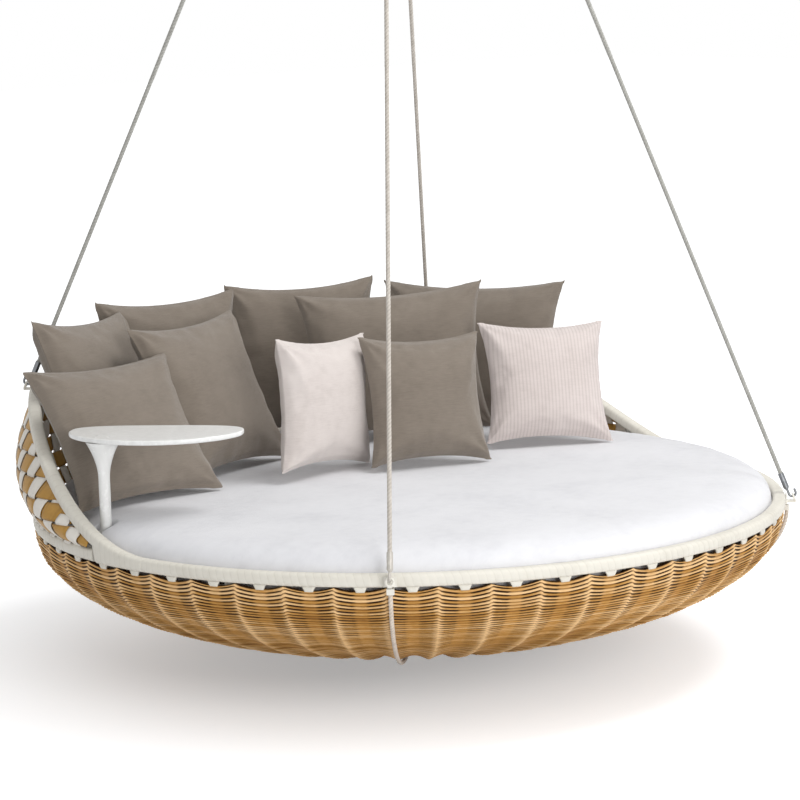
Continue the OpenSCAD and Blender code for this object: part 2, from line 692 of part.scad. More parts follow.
ceiling_plates();
ceiling_hook(FL);  // ceiling_hook_fl
ceiling_hook(FR);  // ceiling_hook_fr
ceiling_hook(BL);  // ceiling_hook_bl
ceiling_hook(BR);  // ceiling_hook_br
rope_eye(FL);  // rope_eye_fl
rope_eye(FR);  // rope_eye_fr
rope_eye(BL);  // rope_eye_bl
rope_eye(BR);  // rope_eye_br
rope(FL);  // rope_fl
rope(FR);  // rope_fr
rope(BL);  // rope_bl
rope(BR);  // rope_br
rim_hook(FL);  // rim_hook_fl
rim_hook(FR);  // rim_hook_fr
rim_hook(BL);  // rim_hook_bl
rim_hook(BR);  // rim_hook_br
rim_bracket(FL);  // rim_bracket_fl
rim_bracket(FR);  // rim_bracket_fr
rim_bracket(BL);  // rim_bracket_bl
rim_bracket(BR);  // rim_bracket_br
bracket_screws();
rim_tube_front();
rim_tube_back();
lower_rail();
back_posts();
bowl_ribs();
base_plate();
bearer_ring();
deck_bearers();
deck_left();
deck_right();
bowl_weave();
back_weave();
rim_wrap_front();
rim_wrap_back();
lower_band();
rim_ties();
sling_a();
sling_b();
sling_lugs();
mattress();
taupe(0);  // cushion_a
taupe(1);  // cushion_b
taupe(2);  // cushion_c
taupe(3);  // cushion_d
taupe(4);  // cushion_e
taupe(5);  // cushion_f
taupe(6);  // cushion_g
beige(7);  // cushion_h
taupe(8);  // cushion_i
beige(9);  // cushion_j
table_socket();
socket_screws();
table_post();
table_top();
table_screws();
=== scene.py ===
import math

import bpy
import numpy as np
from mathutils import Matrix, Vector


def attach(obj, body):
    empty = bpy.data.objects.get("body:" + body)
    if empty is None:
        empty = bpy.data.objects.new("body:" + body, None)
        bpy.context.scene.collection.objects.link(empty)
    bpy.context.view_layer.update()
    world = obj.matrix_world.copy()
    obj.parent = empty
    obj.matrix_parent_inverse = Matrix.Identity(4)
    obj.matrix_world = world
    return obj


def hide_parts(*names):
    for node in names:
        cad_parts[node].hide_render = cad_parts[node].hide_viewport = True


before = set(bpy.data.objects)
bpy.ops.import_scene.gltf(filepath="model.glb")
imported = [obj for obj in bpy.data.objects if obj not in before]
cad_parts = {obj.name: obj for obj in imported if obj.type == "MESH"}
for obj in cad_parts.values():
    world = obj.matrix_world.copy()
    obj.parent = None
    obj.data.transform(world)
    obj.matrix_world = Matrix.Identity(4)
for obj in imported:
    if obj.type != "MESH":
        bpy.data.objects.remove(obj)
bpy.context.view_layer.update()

# Round hanging swing bed: a woven bowl with a chequered back, a mattress, ten cushions and a table.
# Lengths are in metres. The ceiling plane is z = 0, the open front faces -Y, the raised back +Y.

RIM_RADIUS = 1.081          # middle of the rim
RIM_LEVEL = -1.622
RIM_HALF_WIDTH, RIM_HALF_HEIGHT = 0.019, 0.018
BOWL_RADIUS, BOWL_TOP, BOWL_LOW, BOWL_WALL = 1.090, -1.653, 0.352, 0.0137
BACK_RISE, BACK_REACH, BACK_CLIMB = 0.36, 98.0, 52.0
BAND_REACH, WEAVE_REACH = 86.9, 83.8
FLUTES, FIRST_TIE = 50, 6.0
AIM = np.array([0.0, 0.0, 1.230])
HOOK_DROP = 0.075
MATTRESS_RADIUS, MATTRESS_HEIGHT, MATTRESS_TOP = 1.059, 0.170, -1.535
MATTRESS_CROWN, MATTRESS_ROUND = 20, 0.45
NOTCH, NOTCH_ROUND = 0.027, 0.020       # the mattress's notch round the table's post: radius and rounding
CORNERS = {"fl": 226.2, "fr": 313.8, "bl": 135, "br": 45}


def turned(reach, degrees):
    """Point in plan at a distance from the middle, at an angle from +X."""
    return reach * np.array([math.cos(math.radians(degrees)), math.sin(math.radians(degrees))])


POST_AT = turned(1.009, 173)


def linear(hex_colour):
    """A written sRGB colour as the linear values that shaders take."""
    parts = [int(hex_colour[i:i + 2], 16) / 255 for i in (1, 3, 5)]
    return tuple(c / 12.92 if c < 0.04045 else ((c + 0.055) / 1.055) ** 2.4 for c in parts) + (1.0,)


def smooth(t):
    """Eases from 0 to 1 as t goes from 0 to 1."""
    t = np.clip(t, 0.0, 1.0)
    return t * t * (3 - 2 * t)


def rise(angle):
    """Height of the back rim over the level rim, at an angle in degrees from the back."""
    return BACK_RISE * smooth((BACK_REACH - np.abs(angle)) / BACK_CLIMB)


def from_axis(r, angle, z):
    """Points at distances from the bed's axis, at angles in radians from +X, at heights z."""
    return np.stack(np.broadcast_arrays(r * np.cos(angle), r * np.sin(angle), z), -1)


def from_back(r, deg, z):
    """The same, at angles in degrees from the back."""
    return np.stack([r * np.sin(np.radians(deg)), r * np.cos(np.radians(deg)), z], -1)


def show(name, data):
    """A new object in the scene."""
    piece = bpy.data.objects.new(name, data)
    bpy.context.scene.collection.objects.link(piece)
    return piece


# ---- camera ----

def aim_camera():
    """A long lens from the front left, a little above the rim, rolled by a degree and a half."""
    forward = np.array([0.646577, 0.747124, -0.154092])
    forward /= np.linalg.norm(forward)
    level = np.cross(forward, [0, 0, 1.0])
    level /= np.linalg.norm(level)
    below = np.cross(forward, level)
    roll = math.radians(1.4834)
    right = math.cos(roll) * level + math.sin(roll) * below
    down = math.cos(roll) * below - math.sin(roll) * level
    lens = bpy.data.cameras.new("photo_camera")
    lens.lens, lens.sensor_width, lens.clip_end = 135.25, 36.0, 100.0
    camera = show("photo_camera", lens)
    turn = np.eye(4)
    turn[:3, 0], turn[:3, 1], turn[:3, 2] = right, -down, -forward
    turn[:3, 3] = (-5.70766, -6.56648, 0.03778)
    camera.matrix_world = Matrix(turn.tolist())
    bpy.context.scene.camera = camera


aim_camera()


# ---- meshes from grids ----

def grid_quads(rows, cols, close_rows=False, close_cols=False, start=0):
    """Quads between neighbouring lines of a grid stored row by row; a closed way joins last to first."""
    i = np.arange(rows if close_rows else rows - 1)[:, None]
    j = np.arange(cols if close_cols else cols - 1)[None, :]
    i2, j2 = (i + 1) % rows, (j + 1) % cols
    quads = np.stack(np.broadcast_arrays(i * cols + j, i * cols + j2, i2 * cols + j2, i2 * cols + j), -1)
    return quads.reshape(-1, 4) + start


def tubes(grids):
    """Points, quads and end faces of closed tubes, each given as a grid of rings."""
    points, quads, caps, count = [], [], [], 0
    for grid in grids:
        rows, cols = grid.shape[:2]
        ring = np.arange(cols) + count
        points.append(grid.reshape(-1, 3))
        quads.append(grid_quads(rows, cols, close_cols=True, start=count))
        caps += [ring[::-1], ring + (rows - 1) * cols]
        count += rows * cols
    return np.concatenate(points), np.concatenate(quads), caps


def signed_volume(points, quads):
    """Sum of the tetrahedra from the middle to each half quad; it is below zero when faces point in."""
    p = points - points.mean(0)
    a, b, c, d = (p[quads[:, k]] for k in range(4))
    return float((np.einsum("ij,ij->i", a, np.cross(b, c)) + np.einsum("ij,ij->i", a, np.cross(c, d))).sum())


def make_piece(name, points, quads, caps=(), marks=None, vectors=None):
    """One mesh object at the origin. Its faces are turned outwards as one; marks are values per point."""
    points = np.asarray(points, float).reshape(-1, 3)
    if signed_volume(points, quads) < 0:
        quads = quads[:, ::-1]
        caps = [c[::-1] for c in caps]
    corners = np.concatenate([quads.ravel(), *caps])
    starts = np.cumsum([0] + [4] * len(quads) + [len(c) for c in caps])[:-1]
    mesh = bpy.data.meshes.new(name)
    mesh.vertices.add(len(points))
    mesh.vertices.foreach_set("co", points.ravel())
    mesh.loops.add(len(corners))
    mesh.loops.foreach_set("vertex_index", corners.astype(np.int32))
    mesh.polygons.add(len(starts))
    mesh.polygons.foreach_set("loop_start", starts.astype(np.int32))
    mesh.update(calc_edges=True)
    mesh.validate()
    mesh.polygons.foreach_set("use_smooth", np.ones(len(mesh.polygons), bool))
    for kind, field, given in (("FLOAT", "value", marks), ("FLOAT_VECTOR", "vector", vectors)):
        for key, values in (given or {}).items():
            layer = mesh.attributes.new(key, kind, "POINT")
            layer.data.foreach_set(field, np.asarray(values, np.float32).ravel())
    return show(name, mesh)


def dress(piece, finish, body, slot, *nodes):
    """Gives a piece its finish and the body that it rides on, and hides the nodes that it stands for; its slot
    is not used.
    """
    piece.data.materials.clear()
    piece.data.materials.append(finish)
    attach(piece, body)
    if nodes:
        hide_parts(*nodes)


# ---- shader building ----

def wire(tree, kind, inputs=None, **settings):
    """Adds a node, sets its own settings, and sets or links its inputs by name or number."""
    node = tree.nodes.new(kind)
    for key, value in settings.items():
        setattr(node, key, value)
    for key, value in (inputs or {}).items():
        socket = node.inputs[key]
        if isinstance(value, bpy.types.NodeSocket):
            tree.links.new(value, socket)
        else:
            socket.default_value = value
    return node


def sums(tree, operation, *values):
    """A Math node on one or two numbers or sockets."""
    return wire(tree, "ShaderNodeMath", dict(enumerate(values)), operation=operation).outputs[0]


def plus(tree, first, second):
    return sums(tree, "ADD", first, second)


def minus(tree, first, second):
    return sums(tree, "SUBTRACT", first, second)


def times(tree, first, second):
    return sums(tree, "MULTIPLY", first, second)


def blend_colour(tree, share, first, second):
    """Colours mixed by a share from 0 to 1."""
    return wire(tree, "ShaderNodeMix", {0: share, 6: first, 7: second}, data_type="RGBA").outputs[2]


def spread(tree, value, low, high, to_low=0.0, to_high=1.0):
    """A value's range carried over to another, held at its ends."""
    return wire(tree, "ShaderNodeMapRange", {0: value, 1: low, 2: high, 3: to_low, 4: to_high}).outputs[0]


def stretch(tree, place, x, y, z):
    """A place with its three measures made larger or smaller."""
    return wire(tree, "ShaderNodeMapping", {"Vector": place, "Scale": (x, y, z)}).outputs[0]


def noise(tree, place, scale, detail=2.0, rough=0.5):
    return wire(tree, "ShaderNodeTexNoise",
        {"Vector": place, "Scale": scale, "Detail": detail, "Roughness": rough}).outputs[0]


def new_group(name, outputs, **numbers):
    """An empty shader group: a place and some numbers go in, other numbers come out."""
    tree = bpy.data.node_groups.new(name, "ShaderNodeTree")
    tree.interface.new_socket("Place", in_out="INPUT", socket_type="NodeSocketVector")
    for label, value in numbers.items():
        tree.interface.new_socket(label, in_out="INPUT", socket_type="NodeSocketFloat").default_value = value
    for label in outputs:
        tree.interface.new_socket(label, in_out="OUTPUT", socket_type="NodeSocketFloat")
    return tree, tree.nodes.new("NodeGroupInput").outputs, tree.nodes.new("NodeGroupOutput").inputs


def put(tree, group, **inputs):
    """Places a group in a material with its own values."""
    return wire(tree, "ShaderNodeGroup", inputs, node_tree=group).outputs


def thread_group():
    """Plain weave: two sets of rounded threads that cross, with slubs and a little fuzz, and a little painted
    shade on the threads' low parts.
    """
    tree, given, made = new_group("Woven threads", ("Height", "Tone"), Threads=900.0, Slub=0.5)
    apart = wire(tree, "ShaderNodeSeparateXYZ", {0: given["Place"]}).outputs
    phase = [times(tree, times(tree, apart[k], given["Threads"]), math.pi) for k in (0, 1)]
    along, across = (sums(tree, "SINE", p) for p in phase)
    over = spread(tree, times(tree, along, across), -0.2, 0.2)
    first, second = (sums(tree, "ABSOLUTE", s) for s in (along, across))
    mixed = wire(tree, "ShaderNodeMix", {0: over, 2: first, 3: second}, data_type="FLOAT").outputs[0]
    slub = noise(tree, stretch(tree, given["Place"], 40.0, 600.0, 40.0), 1.0)
    fuzz = noise(tree, given["Place"], 1800.0, 3.0)
    height = plus(tree, times(tree, mixed, 0.7), times(tree, fuzz, 0.3))
    tree.links.new(height, made["Height"])
    tone = times(tree, minus(tree, slub, 0.5), given["Slub"])
    # Painted shade: where the threads lie low, between crossings, the tone is a little darker.
    tree.links.new(plus(tree, tone, times(tree, minus(tree, mixed, 0.6), 0.12)), made["Tone"])
    return tree


def patch_group():
    """Slow patches of light and dark, from soft noise at two sizes."""
    tree, given, made = new_group("Patchy tone", ("Tone",), Size=6.0)
    wide = noise(tree, given["Place"], given["Size"])
    fine = noise(tree, given["Place"], times(tree, given["Size"], 7.0), 3.0)
    both = plus(tree, times(tree, wide, 0.65), times(tree, fine, 0.35))
    tree.links.new(minus(tree, both, 0.5), made["Tone"])
    return tree


def grain_group():
    """Wood grain: bands bent by noise, drawn out along X."""
    tree, given, made = new_group("Wood grain", ("Tone", "Height"), Rings=30.0)
    drawn = stretch(tree, given["Place"], 0.35, 3.0, 3.0)
    bands = wire(tree, "ShaderNodeTexWave", {"Vector": drawn, "Scale": given["Rings"], "Distortion": 5.0,
        "Detail": 3.0, "Detail Scale": 1.5}, bands_direction="Y").outputs[1]
    pores = noise(tree, stretch(tree, given["Place"], 12.0, 400.0, 400.0), 1.0)
    tree.links.new(plus(tree, times(tree, bands, 0.6), times(tree, pores, 0.4)), made["Tone"])
    tree.links.new(pores, made["Height"])
    return tree


def scuff_group():
    """Brush lines and small scuffs, for metal and paint."""
    tree, given, made = new_group("Scuffs", ("Tone", "Height"), Lines=300.0)
    lines = noise(tree, stretch(tree, given["Place"], 1.0, 1.0, 0.08), given["Lines"], 3.0)
    spots = spread(tree, noise(tree, given["Place"], 55.0, 4.0, 0.65), 0.56, 0.72)
    tree.links.new(plus(tree, times(tree, lines, 0.4), times(tree, spots, 0.5)), made["Tone"])
    tree.links.new(lines, made["Height"])
    return tree


THREADS, PATCHES, GRAIN, SCUFFS = thread_group(), patch_group(), grain_group(), scuff_group()


def start_finish(name, rough, metal=0.0, sheen=0.0, coat=0.0, specular=0.5):
    """A material with its Principled shader; even values stand on the shader's own sockets."""
    material = bpy.data.materials.new(name)
    material.use_nodes = True
    tree = material.node_tree
    shader = tree.nodes["Principled BSDF"]
    for socket, value in (("Roughness", rough), ("Metallic", metal), ("Specular IOR Level", specular),
            ("Sheen Weight", sheen), ("Coat Weight", coat)):
        shader.inputs[socket].default_value = value
    return material, tree, shader, tree.nodes.new("ShaderNodeTexCoord").outputs["Object"]


def shade(tree, shader, colour, tone, light, dark):
    """Base colour: a colour, drawn towards a written light and dark one as the tone goes over or under 0."""
    up = blend_colour(tree, spread(tree, tone, 0.0, 0.5), colour, linear(light))
    both = blend_colour(tree, spread(tree, tone, 0.0, -0.5), up, linear(dark))
    tree.links.new(both, shader.inputs["Base Color"])
    return both


def raise_up(tree, shader, height, distance, strength=0.5):
    bump = wire(tree, "ShaderNodeBump", {"Height": height, "Distance": distance, "Strength": strength})
    tree.links.new(bump.outputs[0], shader.inputs["Normal"])


def mark(tree, name, vector=False):
    node = wire(tree, "ShaderNodeAttribute", attribute_name=name)
    return node.outputs["Vector" if vector else "Fac"]


STRIPE_PITCH = 0.011


def cloth_finish(name, colour, light, dark, threads, slub=0.5, stripes=None):
    """Woven cover: threads laid on the cover's own flat measure, slow fading, and stripes if asked for."""
    material, tree, shader, _ = start_finish(name, 0.92, sheen=0.25, specular=0.25)
    laid = mark(tree, "cover", True)
    weave = put(tree, THREADS, Place=laid, Threads=threads, Slub=slub)
    patch = put(tree, PATCHES, Place=laid, Size=5.0)
    tone = plus(tree, weave["Tone"], times(tree, patch["Tone"], 0.9))
    base = linear(colour)
    if stripes:
        x = wire(tree, "ShaderNodeSeparateXYZ", {0: laid}).outputs[0]
        wave = sums(tree, "SINE", times(tree, x, 2 * math.pi / STRIPE_PITCH))
        base = blend_colour(tree, spread(tree, wave, -0.1, 0.75), linear(colour), linear(stripes))
    shade(tree, shader, base, tone, light, dark)
    raise_up(tree, shader, weave["Height"], 0.0006, 0.55)
    return material


def strap_finish(name, colour, light, dark, along="seam", rough=0.55, seam_shade_strength=0.14):
    """Flat plastic strap: fine ribs along it, and painted shade along a mark: a darker line where one turn
    meets the next, or at a woven strap's edges and crossings.
    """
    material, tree, shader, place = start_finish(name, rough, specular=0.4)
    patch = put(tree, PATCHES, Place=place, Size=9.0)
    # The mark carries painted shade, which darkens the colour.
    seam = mark(tree, along)
    tone = minus(tree, times(tree, patch["Tone"], 0.7), times(tree, seam, seam_shade_strength))
    shade(tree, shader, linear(colour), tone, light, dark)
    raise_up(tree, shader, noise(tree, place, 700.0, 3.0), 0.0004, 0.35)
    return material


def metal_finish(name, colour, light, dark, rough, metal, lines, coat=0.0):
    """Metal or paint with brush lines and scuffs that change its gloss."""
    material, tree, shader, place = start_finish(name, rough, metal=metal, coat=coat)
    scuffs = put(tree, SCUFFS, Place=place, Lines=lines)
    shade(tree, shader, linear(colour), minus(tree, scuffs["Tone"], 0.3), light, dark)
    gloss = spread(tree, scuffs["Tone"], 0.0, 0.8, rough - 0.07, rough + 0.13)
    tree.links.new(gloss, shader.inputs["Roughness"])
    raise_up(tree, shader, scuffs["Height"], 0.0003, 0.3)
    return material


def wood_finish(name, colour, light, dark, rings):
    material, tree, shader, place = start_finish(name, 0.62, specular=0.35)
    grain = put(tree, GRAIN, Place=place, Rings=rings)
    shade(tree, shader, linear(colour), minus(tree, grain["Tone"], 0.5), light, dark)
    raise_up(tree, shader, grain["Height"], 0.0005, 0.4)
    return material


def rope_finish(name, colour, light, dark):
    """Laid rope: painted shade darkens the valleys between its strands, and fibres run over it."""
    material, tree, shader, place = start_finish(name, 0.88, sheen=0.2, specular=0.25)
    patch = put(tree, PATCHES, Place=place, Size=40.0)
    # Painted shade: the valleys between the strands are drawn darker.
    valley = mark(tree, "valley")
    tone = minus(tree, times(tree, patch["Tone"], 0.8), times(tree, valley, 0.30))
    shade(tree, shader, linear(colour), tone, light, dark)
    raise_up(tree, shader, noise(tree, place, 1500.0, 3.0), 0.0005, 0.5)
    return material


def wicker_finish(name):
    """Bowl cord: each row has its own tone, with painted highlights on the strands' tops and ridges and painted
    shade towards the ties; the hollows and the slits between rows are painted dark brown as shade.
    """
    material, tree, shader, place = start_finish(name, 0.62, specular=0.20)
    patch = put(tree, PATCHES, Place=place, Size=7.0)
    fibres = noise(tree, stretch(tree, place, 60.0, 60.0, 420.0), 1.0, 3.0)
    tone = plus(tree, mark(tree, "strand"), times(tree, patch["Tone"], 0.5))
    tone = plus(tree, tone, times(tree, minus(tree, fibres, 0.5), 0.5))
    both = shade(tree, shader, linear("#BD8B45"), tone, "#EBC38D", "#84561F")
    # Painted shade: the hollows between rows go dark brown, the slits nearly black.
    hollow_shade = blend_colour(tree, mark(tree, "valley"), both, linear("#55300D"))
    slit = blend_colour(tree, spread(tree, mark(tree, "slit"), 0.03, 0.34), hollow_shade, linear("#2B1404"))
    tree.links.new(slit, shader.inputs["Base Color"])
    raise_up(tree, shader, fibres, 0.0005, 0.5)
    return material


BOWL_CORD = wicker_finish("bowl cord")
PALE_STRAP = strap_finish("pale winding strap", "#D9D5CA", "#E6E2D8", "#B5AFA1")
PALE_WEFT = strap_finish("pale woven strap", "#E6E1D8", "#F1EDE5", "#A99F8D", along="edge", seam_shade_strength=0.4)
OCHRE_STRAP = strap_finish("ochre woven strap", "#B3873A", "#C69A50", "#6F4A18", along="edge", rough=0.5,
    seam_shade_strength=0.5)
HANGING_ROPE = rope_finish("hanging rope", "#C4BDB4", "#D8D3CB", "#968E83")
# A darker copy of the hanging rope: painted shade.
SHADED_ROPE = rope_finish("hanging rope in shade", "#A9A8A2", "#C2C1BC", "#83827C")
SLING_ROPE = rope_finish("rope under the bowl", "#D8CCBF", "#E8DED3", "#A39484")
TAUPE = cloth_finish("taupe cushion cover", "#80766B", "#8F857A", "#675D53", threads=700.0)
BEIGE = cloth_finish("beige cushion cover", "#D6CDC8", "#E3DBD6", "#B4A9A3", threads=800.0, slub=0.35)
STRIPED = cloth_finish("striped cushion cover", "#D5CAC6", "#E2D8D4", "#B4A9A4", threads=800.0, slub=0.3,
    stripes="#C8BDB8")
MATTRESS_CLOTH = cloth_finish("mattress cover", "#E3E3E6", "#EEEEF1", "#C8C8CD", threads=1100.0, slub=0.15)
STEEL = metal_finish("ceiling steel", "#9A9DA0", "#B4B7BA", "#6F7275", 0.36, 1.0, 420.0)
FITTING_STEEL = metal_finish("rope fitting steel", "#A3A5A7", "#BCBEC0", "#77797B", 0.3, 1.0, 500.0)
DARK_STEEL = metal_finish("dark hook steel", "#85878A", "#A2A4A6", "#5A5C5E", 0.34, 0.9, 350.0)
PALE_STEEL = metal_finish("pale hook steel", "#BDB8B0", "#CBC6BE", "#9F9A92", 0.42, 0.25, 350.0)
PALE_PAINT = metal_finish("pale fitting paint", "#E4E1D8", "#EDEAE2", "#C5C1B6", 0.45, 0.0, 90.0)
SCREW_STEEL = metal_finish("screw steel", "#76797B", "#909395", "#4F5254", 0.38, 1.0, 600.0)
FRAME_PAINT = metal_finish("frame paint", "#A8A49B", "#B9B5AC", "#85817A", 0.5, 0.0, 90.0)
SOCKET_PAINT = metal_finish("socket paint", "#E0E0DE", "#ECECEA", "#BDBDBB", 0.38, 0.0, 120.0, 0.15)
TABLE_PAINT = metal_finish("table paint", "#EAEAE8", "#F2F2F0", "#CFCFCC", 0.32, 0.0, 60.0, 0.25)
BEARER_WOOD = wood_finish("bearer wood", "#B79F78", "#C9B38E", "#8F7750", 26.0)
DECK_WOOD = wood_finish("deck wood", "#CDB58C", "#DCC7A2", "#A68C62", 14.0)


# ---- ropes ----

STRANDS, LAY, VALLEY = 3, 0.034, 0.07      # strands of a rope, length of a full turn, depth between them
HOOK_OUT, HOOK_UP = 0.011, 0.012           # a lower hook's bend, from the rim's edge and its middle
# Along a rope: from the lower hook's bend to the rope's end, the upper fitting, and the rope's way into it.
LOW_HOOK, HIGH_HOOK, FERRULE = 0.032, 0.0717, 0.035
# Under the bowl: the ropes' start below its top, their way out from its side, and from one to the other.
SLING_START, SLING_OFF, SLING_APART = 0.0036, 0.014, 0.0126


def laid_tube(path, radius, around):
    """Tube along a path. Its radius falls in valleys that turn round it once in each lay length, one for
    each strand: r = radius * (1 - VALLEY * (1 - |cos(STRANDS / 2 * (angle - 2 pi s / LAY))|))."""
    step = np.linalg.norm(np.diff(path, axis=0), axis=1)
    s = np.concatenate([[0.0], np.cumsum(step)])
    ahead = np.gradient(path, axis=0)
    ahead /= np.linalg.norm(ahead, axis=1)[:, None]
    side = np.cross(path[-1] - path[0], [0.0, 0.0, 1.0])
    side = np.tile(side / np.linalg.norm(side), (len(path), 1))
    side -= ahead * np.einsum("ij,ij->i", side, ahead)[:, None]
    side /= np.linalg.norm(side, axis=1)[:, None]
    up = np.cross(ahead, side)
    angle = np.arange(around) * 2 * np.pi / around
    wave = np.abs(np.cos(STRANDS / 2 * (angle - 2 * np.pi * s[:, None] / LAY)))
    r = radius * (1 - VALLEY * (1 - wave))
    across = np.cos(angle)[None, :, None] * side[:, None, :] + np.sin(angle)[None, :, None] * up[:, None, :]
    # With the tube goes a mark for the painted shade in the valleys between its strands.
    return *tubes([path[:, None, :] + r[..., None] * across]), {"valley": (1 - wave) ** 1.5}


def corner_point(key):
    """Where a lower hook's bend starts: just outside the rim, over it."""
    z = RIM_LEVEL + HOOK_UP + (float(rise(45.0)) if CORNERS[key] < 180 else 0.0)
    return np.append(turned(RIM_RADIUS + RIM_HALF_WIDTH + HOOK_OUT, CORNERS[key]), z)


def hanging_ropes():
    """Four straight ropes, each from inside its lower ferrule to inside its upper one."""
    for key in CORNERS:
        low = corner_point(key)
        along = (AIM - low) / np.linalg.norm(AIM - low)
        reach = (-HOOK_DROP - low[2]) / along[2]
        first, last = LOW_HOOK, reach - HIGH_HOOK + FERRULE
        s = np.linspace(first, last, int((last - first) / 0.0028))
        path = low + s[:, None] * along
        rope = make_piece("hanging_rope_" + key, *laid_tube(path, 0.0062, 21))
        # The fr and bl ropes take the darker copy, a painted shade.
        finish = HANGING_ROPE if key in ("fl", "br") else SHADED_ROPE
        dress(rope, finish, "rope_" + key, "hanging_rope", "rope_" + key)


def ropes_under_bowl():
    """Two ropes that follow the bowl's half ellipse from lug to lug; the second passes under the first."""
    for name, key, lower in (("sling_a", "fl", 0.0), ("sling_b", "fr", SLING_APART)):
        first = math.asin(SLING_START / BOWL_LOW)
        t = np.linspace(first, math.pi - first, 700)
        z = BOWL_TOP - (BOWL_LOW + SLING_OFF + lower) * np.sin(t)
        path = from_axis((BOWL_RADIUS + SLING_OFF) * np.cos(t), math.radians(CORNERS[key]), z)
        rope = make_piece("rope_under_" + name, *laid_tube(path, 0.0060, 18))
        dress(rope, SLING_ROPE, "bed", "sling_rope", name)


hanging_ropes()
ropes_under_bowl()


# ---- woven bowl ----

STRAND = 0.0108             # from one row of cord to the next
MERIDIAN_T = np.linspace(-0.12, math.pi / 2, 4000)
MERIDIAN_S = np.concatenate([[0.0], np.cumsum(np.hypot(np.diff(BOWL_RADIUS * np.cos(MERIDIAN_T)),
    np.diff(BOWL_LOW * np.sin(MERIDIAN_T))))])
MERIDIAN_S -= np.interp(0.0, MERIDIAN_T, MERIDIAN_S)
MERIDIAN = float(MERIDIAN_S[-1])


def bowl_surface(s, angle, out):
    """Point on the bowl a length s down its side, at an angle, moved out along the ellipse's normal."""
    t = np.interp(s, MERIDIAN_S, MERIDIAN_T)
    across, down = np.cos(t) / BOWL_RADIUS, -np.sin(t) / BOWL_LOW
    size = np.hypot(across, down)
    r = BOWL_RADIUS * np.cos(t) + out * across / size
    z = BOWL_TOP - BOWL_LOW * np.sin(t) + out * down / size
    return from_axis(r, angle, z)


def flute_columns(shares):
    """Angles of a ring's columns: the same shares of a flute in each flute, from one tie to the next. With
    them go the share, and the flute between two ridges that a column belongs to."""
    share = np.tile(np.asarray(shares), FLUTES)
    flute = np.repeat(np.arange(FLUTES), len(shares))
    angle = np.radians(FIRST_TIE + (flute + share) * 360.0 / FLUTES)
    return angle, share, flute


def bowl_band(name, first_row, last_row, shares, fine, rng):
    """A ring of the bowl. Over a row's share q the cord stands out by 3.4 mm * (1 - |2q - 1|^3). Over a
    flute's share p, counted from a tie, rows rise by A * (1 - |cos(pi p)|), and the wall stands out by
    5.5 mm - D * |cos(pi p)|, so that it has a sharp ridge halfway between two ties. A row lies half a cord
    higher in every other flute. An even wall closes the ring inside."""
    rows = np.arange(first_row, last_row)
    line = np.append((rows[:, None] + np.array(fine)).ravel(), last_row)
    q = np.append(np.tile(fine, len(rows)), 0.0)
    row = np.append(np.repeat(rows, len(fine)), last_row - 1)
    angle, p, flute = flute_columns(shares)
    hang = np.abs(np.cos(np.pi * p))
    # Past the ridge a column belongs to the next flute, and its rows are the next flute's.
    over = smooth((p - 0.46) / 0.08)
    step = 0.5 * ((flute % 2) * (1 - over) + ((flute + 1) % 2) * over)
    s = (line[:, None] - step * np.clip(line[:, None], 0, 1)) * STRAND
    fade = smooth((MERIDIAN - s) / 0.25)
    deep = smooth(s / 0.35)
    own = rng.normal(size=(last_row + 1, 3))[row].T[..., None]
    drift = sum(0.0005 * own[k] * np.sin((k + 3) * angle + 7 * own[(k + 1) % 3]) for k in range(3))
    sag = (0.0125 + 0.0110 * deep) * (hang - 1.0) * fade
    bead = (1 - np.abs(2 * q - 1) ** 3)[:, None]
    top_rows = np.clip((24 - row) / 14.0, 0, 1)[:, None]
    from_tie = np.minimum(p, 1 - p)
    beside_tie = smooth((from_tie - 0.07) / 0.09) * smooth((0.485 - from_tie) / 0.05)
    open_here = beside_tie * np.where(p < 0.5, 0.8, 1.0)
    chance = np.clip(0.88 + 0.26 * np.sin(2.1 * flute + 5.0 * own[0]), 0.25, 1)
    # Slits open between rows beside the ties: the wall moves in there, and the shader paints them nearly black
    # as shadow.
    slit = (1 - bead) * open_here * (0.85 + 0.15 * top_rows) * chance * fade
    out = 0.0034 * (bead - 1) * (0.55 + 0.45 * fade) - 0.0030 * slit + drift * 0.6 \
        + (0.0055 - (0.0095 + 0.0030 * deep) * hang) * np.minimum(1, fade + 0.10)
    out = np.clip(out, -0.0132, 0.0062)
    outer = bowl_surface(np.minimum(s + sag, MERIDIAN - 0.004), angle, out)
    ends = np.linspace(1, 0, 5)[:, None]
    inside = s[-1:] * ends + s[:1] * (1 - ends) + (sag[-1:] * ends + sag[:1] * (1 - ends))
    inner = bowl_surface(np.minimum(inside, MERIDIAN - 0.004), angle, -BOWL_WALL)
    points = np.concatenate([outer, inner])
    # Each row has its own random tone and a slow drift, plus a painted highlight on each strand's top that is
    # stronger in the upper rows.
    tone = rng.normal(0, 0.16, last_row + 1)[row][:, None] \
        + 0.10 * np.sin(5 * angle + 9 * own[0]) * own[1] + (0.10 + 0.16 * top_rows) * bead
    # A painted highlight along each ridge, and painted shade towards the ties.
    tone += (0.34 * np.exp(-((p - 0.5) / 0.08) ** 2) - 0.16 * hang) * fade
    # Painted shade in the hollows between rows, deeper beside the ties.
    valley = (1 - bead) * (0.70 + 0.28 * beside_tie)
    pad = np.zeros((5, len(angle)))
    marks = {"valley": np.concatenate([valley, pad]), "slit": np.concatenate([slit, pad]),
        "strand": np.concatenate([tone, pad])}
    return make_piece(name, points, grid_quads(len(points), len(angle), close_rows=True, close_cols=True),
        marks=marks)


